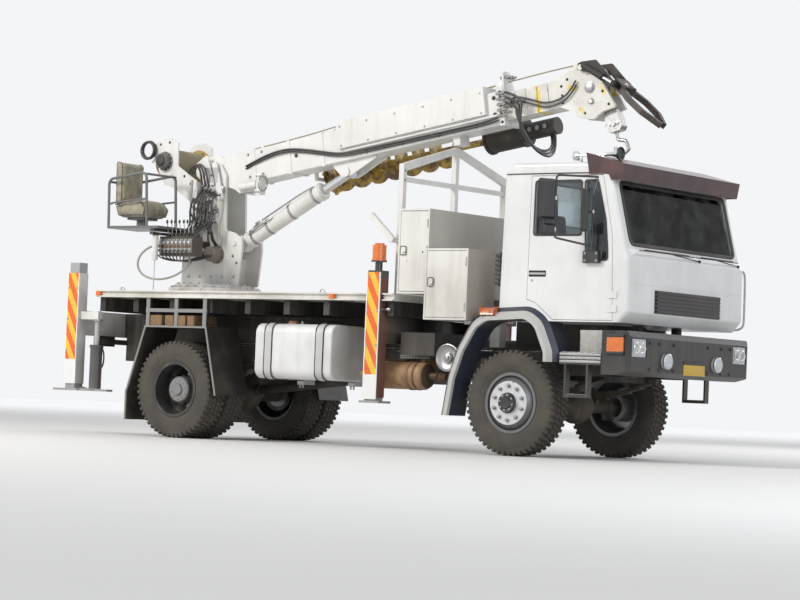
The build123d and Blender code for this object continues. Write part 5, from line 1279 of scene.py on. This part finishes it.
for k in range(20):
    x, z = random.uniform(-5.15, -4.8), random.uniform(2.36, 2.98)
    way = (random.uniform(-0.3, 0.3), -1, random.uniform(-0.6, 0.2))
    crowd.append(fitting(at(x, -0.196, z), way, random.uniform(0.01, 0.014)))
    if k % 2:
        low_z = z - random.uniform(0.25, 0.5)
        drift = random.uniform(-0.09, 0.09)
        crowd_runs.append(path(
            (x, -0.25, z - 0.01), (x + drift * 0.3, -0.33, z - 0.05),
            (x + drift, -0.36 + 0.05 * random.random(), (z + low_z) / 2),
            (x + drift * 0.8, -0.31, low_z + 0.06), (x + drift * 0.5, -0.2, low_z)))
turnings("turret_couplings", crowd, steel, "turret", 6)
tubes("turret_hoses_short", crowd_runs, 0.0095, hose_mat, "turret")

# Short ram and its bracket on the boom's right side

ram_root, ram_tip = path((-4.46, -0.235, 2.885), (-4.17, -0.235, 2.925))
turnings("boom_side_ram", [(ram_root, ram_tip - ram_root, (
    (0, 0.03), (0.01, 0.044), (0.05, 0.046), (0.055, 0.04), (0.2, 0.04), (0.205, 0.046), (0.25, 0.046),
    (0.26, 0.022), (0.295, 0.022)))], white_worn, "boom", 28)
blocks("boom_side_bracket", [
    box(-4.2, -4.15, -0.262, -0.148, 2.8, 3.03), box(-4.47, -4.44, -0.25, -0.148, 2.87, 2.9),
    box(-4.215, -4.135, -0.268, -0.252, 2.79, 2.86), box(-4.215, -4.135, -0.268, -0.252, 2.97, 3.04)],
    0.005, white_worn, "boom")
ring = [at(-4.125, -0.235 + 0.078 * math.cos(a), 2.925 + 0.085 * math.sin(a)) for a in angles(24)]
tubes("boom_side_ring", [ring + [ring[0]], path((-4.46, -0.215, 2.815), (-4.15, -0.215, 2.845))], 0.009,
      steel, "boom", order=2)
bolts("boom_side_bolts", [at(x, -0.268, z) for x in (-4.195, -4.155) for z in (2.825, 3.005)], -Y, 0.009,
      0.008, "boom")

# Turret: manifold and bolts

CHEEK_BOLTS = ((-5.22, 1.86), (-5.05, 1.86), (-4.88, 1.86), (-4.71, 1.86), (-4.54, 1.86), (-4.56, 2.1),
               (-5.2, 2.02), (-4.5, 2.02))
GREASE_CAP = ((0, 0.04), (0.006, 0.038), (0.008, 0.016), (0.016, 0.014), (0.022, 0.006))
manifold = [box(-5.1, -4.72, -0.232, -0.192, 2.84, 2.9), box(-5.06, -4.84, -0.236, -0.192, 2.62, 2.7)]
blocks("turret_manifold", manifold, 0.005, steel, "turret")
bolts("slew_motor_bolts", round_wheel(0.096, -0.2105, -4.8, 8, z=2.114), -Y, 0.008, 0.008, "turret")
bolts("cheek_bolts", [at(x, s * 0.1925, z) for s in (-1, 1) for x, z in CHEEK_BOLTS], -Y, 0.011, 0.01,
      "turret")
turnings("pivot_grease", [(at(-4.9, s * 0.223, 3.03), Y * s, GREASE_CAP) for s in (-1, 1)], cast, "turret")

# Valve bank: levers, bolts and pipes, and the rod on the platform's post

LEVER_GRIP = ((0, 0.007), (0.006, 0.012), (0.026, 0.013), (0.038, 0.009), (0.044, 0.004))
VALVE_X, VALVE_STEP = -5.092, 0.062
levers, grips = [], []
for k in range(1, 8):
    foot = at(VALVE_X + VALVE_STEP * k, -0.79, 2.315)
    tip = foot + Vector((-0.012 + 0.004 * (k % 3), -0.02, 0.125))
    levers.append([foot, foot.lerp(tip, 0.5) + X * 0.003, tip])
    grips.append((tip - Z * 0.012, Z, LEVER_GRIP))
tubes("valve_levers", levers, 0.005, steel, "turret")
turnings("valve_grips", grips, plastic, "turret", 14)
bolts("valve_bolts", [at(VALVE_X + VALVE_STEP * k, -0.8455, z) for k in range(8)
                      for z in (2.102, 2.165, 2.238)], -Y, 0.008, 0.007, "turret")
blocks("valve_tie_bar", [box(-5.122, -4.634, -0.852, -0.846, 2.15, 2.18)], 0.002, rusty, "turret")
valve_pipes = []
for k in range(8):
    x = VALVE_X + VALVE_STEP * k
    valve_pipes.append(path(
        (x, -0.864, 2.12), (x, -0.905, 2.115), (-5.085 + 0.06 * k, -0.915, 2.07),
        (-5.03 + 0.045 * k, -0.88, 2.02 - 0.005 * k), (-4.96 + 0.03 * k, -0.74, 2.0),
        (-4.93 + 0.02 * k, -0.5, 2.03), (-4.93 + 0.025 * k, -0.3, 2.1), (-4.95 + 0.03 * k, -0.195, 2.2)))
tubes("valve_pipes", valve_pipes, 0.008, hose_mat, "turret")
tubes("post_rod", [path((-5.09, -0.94, 2.02), (-5.09, -0.94, 1.8), (-5.092, -0.94, 1.664))], 0.007,
      white_worn, "turret")

# Lift cylinder: pipes, bands, valve block and gland bolts

lift_foot = at(-4.55, 0, 2.25)
lift_way = (on_boom(1.838, -0.275) - lift_foot).normalized()
lift_top = -lift_way.cross(Y).normalized()
if lift_top.z < 0:
    lift_top = -lift_top


def on_lift(d, rise, y=0.0):
    """Point along, above and beside the lift cylinder's axis."""
    return lift_foot + lift_way * d + lift_top * rise + Y * y


upper_pipe = ((0.2, 0.1, -0.01), (0.28, 0.118, -0.02), (0.6, 0.12, -0.02), (1.12, 0.118, -0.02),
              (1.2, 0.095, -0.02))
side_pipe = ((0.17, 0.02, -0.1), (0.26, 0.03, -0.115), (0.5, 0.035, -0.114), (0.56, 0.04, -0.088))
tubes("lift_pipe", [[on_lift(*p) for p in run] for run in (upper_pipe, side_pipe)], 0.01, steel,
      "lift_barrel")
BAND = ((0, 0.0925), (0, 0.099), (0.026, 0.099), (0.03, 0.0925))
bands = [(on_lift(d, 0), lift_way, BAND) for d in (0.17, 0.42, 0.78, 1.15)]
turnings("lift_bands", bands, steel, "lift_barrel", 40)
lift_lean = Matrix.Rotation(-math.atan2(lift_way.z, lift_way.x), 3, "Y")
blocks("lift_valve", [around(on_lift(0.3, 0.085), (0.05, 0.035, 0.01), (0.05, 0.035, 0.05), lift_lean)],
       0.005, steel, "lift_barrel")
bolts("lift_gland_bolts", [on_lift(1.275, 0.078 * math.cos(a), 0.078 * math.sin(a)) for a in angles(10)],
      lift_way, 0.008, 0.01, "lift_barrel", cast)

# Cab steps: bright edges of the treads and the riser behind them

for word, side in SIDES:
    blocks("step_edge_" + word, [bar(0.642, 1.128, side * 1.2015, 0.0015, z, z + 0.024)
                                 for z in (0.968, 1.004, 1.04)], 0.001, steel)
    blocks("step_riser_" + word, [bar(0.8, 1.135, side * 1.08, 0.004, 1.069, 1.3),
                                  bar(0.8, 0.808, side * 1.05, 0.034, 1.069, 1.25)], 0.002, arch_lip)

# Cushions: each shape is cut a little small, covered with cloth and blown up

OPERATOR_CUSHION = ((-5.741, 2.626), (-5.549, 2.69), (-5.317, 2.69), (-5.232, 2.6), (-5.271, 2.5),
                    (-5.69, 2.5))
OPERATOR_BACK = ((-5.75, 2.6), (-5.64, 2.65), (-5.65, 3.13), (-5.69, 3.165), (-5.745, 3.165), (-5.765, 3.12))
CAB_CUSHION = ((0.11, 1.7), (0.11, 1.83), (0.18, 1.85), (0.64, 1.85), (0.67, 1.8), (0.65, 1.7))
CAB_BACK = ((0.06, 1.82), (0.19, 1.82), (0.12, 2.5), (0.0, 2.5))
CAB_HEADREST = ((0.045, 2.48), (0.1, 2.48), (0.09, 2.68), (0.02, 2.68))


def baked(obj):
    return bpy.data.meshes.new_from_object(obj.evaluated_get(bpy.context.evaluated_depsgraph_get()))


def pad_core(name, outline, y, half, inset, voxel):
    """Evenly meshed block from an outline in X and Z, inset on every side, with cloth on it."""
    middle = Vector([(min(c) + max(c)) / 2 for c in zip(*outline)])
    reach = Vector([(max(c) - min(c)) / 2 for c in zip(*outline)])
    bm = bmesh.new()
    rings = [[bm.verts.new(at(middle.x + (x - middle.x) * (1 - inset / reach.x), y + offset,
                              middle.y + (z - middle.y) * (1 - inset / reach.y))) for x, z in outline]
             for offset in (inset - half, half - inset)]
    for ring in rings:
        bm.faces.new(ring)
    join_rings(bm, *rings)
    soften(bm, 0.014)
    core = bpy.data.objects.new(name, from_bmesh(bm, name))
    bpy.context.scene.collection.objects.link(core)
    core.modifiers.new("even_mesh", "REMESH").voxel_size = voxel
    core.data = baked(core)
    core.modifiers.clear()
    cloth = core.modifiers.new("filling", "CLOTH")
    cloth.settings.quality = 4
    cloth.settings.use_pressure = True
    cloth.settings.uniform_pressure_force = 4
    cloth.settings.effector_weights.gravity = 0
    return core


def piping(name, mesh, outline, y, half, body):
    """Cords sewn round both edges of a cushion, laid on its surface."""
    surface = BVHTree.FromPolygons([v.co for v in mesh.vertices], [list(p.vertices) for p in mesh.polygons])
    seams = []
    for edge_y in (y - half + 0.012, y + half - 0.012):
        loop = rounded([at(x, edge_y, z) for x, z in outline], 0.03)
        chain = []
        for k, corner in enumerate(loop):
            following = loop[(k + 1) % len(loop)]
            count = max(1, round((following - corner).length / 0.02))
            chain += [surface.find_nearest(corner.lerp(following, i / count))[0] for i in range(count)]
        seams.append(chain + [chain[0]])
    tubes(name, seams, 0.0045, cab_cloth, body, order=2)


# name, outline, middle, half width, inset and voxel size; then the cap on movement, the body and the cloth
pads = [(("operator_cushion", OPERATOR_CUSHION, -0.75, 0.225, 0.018, 0.009), 0.022, "turret", seat_cloth),
        (("operator_backrest", OPERATOR_BACK, -0.75, 0.21, 0.014, 0.009), 0.02, "turret", seat_cloth)]
for word, side in SIDES:
    y = side * 0.64
    pads += [(("cab_cushion_" + word, CAB_CUSHION, y, 0.24, -0.004, 0.016), 0.016, "chassis", cab_cloth),
             (("cab_backrest_" + word, CAB_BACK, y, 0.24, -0.004, 0.016), 0.016, "chassis", cab_cloth),
             (("cab_headrest_" + word, CAB_HEADREST, y, 0.13, -0.004, 0.012), 0.012, "chassis", cab_cloth)]
cores = [pad_core(*shape) for shape, _, _, _ in pads]
flat = [[v.co.copy() for v in core.data.vertices] for core in cores]
for frame_number in range(1, 21):
    bpy.context.scene.frame_set(frame_number)
swollen = [baked(core) for core in cores]
for core, mesh in zip(cores, swollen):
    core.modifiers.clear()
    core.data = mesh
bpy.context.scene.frame_set(1)
for core, points, (shape, cap, body, cloth_mat) in zip(cores, flat, pads):
    for vertex, flat_place in zip(core.data.vertices, points):
        move = vertex.co - flat_place
        if move.length > cap:
            vertex.co = flat_place + move * (cap / move.length)
    core.data.materials.clear()
    core.data.materials.append(cloth_mat)
    for polygon in core.data.polygons:
        polygon.use_smooth = True
    smoothing = core.modifiers.new("smooth", "SUBSURF")
    smoothing.levels = 1
    smoothing.render_levels = 1
    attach(core, body)
    if body == "turret":
        name, outline, y, half = shape[:4]
        piping(name + "_piping", core.data, outline, y, half, body)
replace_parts(cores[0], "operator_seat")

# World, lamps and floor

SKY = (0.97, 0.98, 1, 1)
world = bpy.data.worlds.new("studio")
bpy.context.scene.world = world
world.use_nodes = True
tree = world.node_tree
paths = tree.nodes.new("ShaderNodeLightPath")
# the camera, reflections and glass see a brighter sky than the one that lights the truck
seen = paths.outputs["Is Camera Ray"]
for ray in ("Is Glossy Ray", "Is Transmission Ray"):
    either = tree.nodes.new("ShaderNodeMath")
    either.operation = "MAXIMUM"
    tree.links.new(seen, either.inputs[0])
    tree.links.new(paths.outputs[ray], either.inputs[1])
    seen = either.outputs[0]
strength = tree.nodes.new("ShaderNodeMapRange")
strength.inputs["To Min"].default_value = 0.42
strength.inputs["To Max"].default_value = 0.93
tree.links.new(seen, strength.inputs["Value"])
tree.nodes["Background"].inputs[0].default_value = SKY
tree.links.new(strength.outputs[0], tree.nodes["Background"].inputs[1])


def lamp(name, place, power, size, colour=(1, 1, 1)):
    """Area lamp aimed at the truck's middle."""
    data = bpy.data.lights.new(name, "AREA")
    data.energy, data.size, data.color = power, size, colour
    obj = bpy.data.objects.new(name, data)
    bpy.context.scene.collection.objects.link(obj)
    obj.location = place
    obj.rotation_mode = "QUATERNION"
    obj.rotation_quaternion = (Vector((0, 0, 1.6)) - Vector(place)).to_track_quat("-Z", "Y")


lamp("key", (-6.5, -14, 11), 2050, 5, (1, 0.97, 0.92))
lamp("front_fill", (16, -8, 7), 700, 9, (0.93, 0.96, 1))
lamp("left_fill", (2, 15, 9), 900, 9)


def floor_material(size):
    """Pale floor that glows more with distance, so that it fades into the sky."""
    n = Nodes("floor_finish")
    x, y = n.axis("X"), n.axis("Y")
    away = n.math("SQRT", n.plus(n.times(x, x), n.times(y, y)))
    n.put(n.shader.inputs["Emission Strength"], n.times(n.ramp(n.math("DIVIDE", away, size), 0.12, 0.75),
                                                        0.55))
    n.shader.inputs["Emission Color"].default_value = SKY
    return n.finish(n.mix(n.noise(0.4, 3), (0.8, 0.8, 0.79, 1), (0.77, 0.77, 0.765, 1)), 0.75)


floor_size = 60.0
bm = bmesh.new()
bmesh.ops.create_grid(bm, x_segments=1, y_segments=1, size=floor_size)
floor = bpy.data.objects.new("floor", from_bmesh(bm, "floor"))
bpy.context.scene.collection.objects.link(floor)
floor.location.z = -0.0005
floor.data.materials.append(floor_material(floor_size))
floor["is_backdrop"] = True
bpy.context.scene.view_settings.view_transform = "Standard"

low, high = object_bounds()
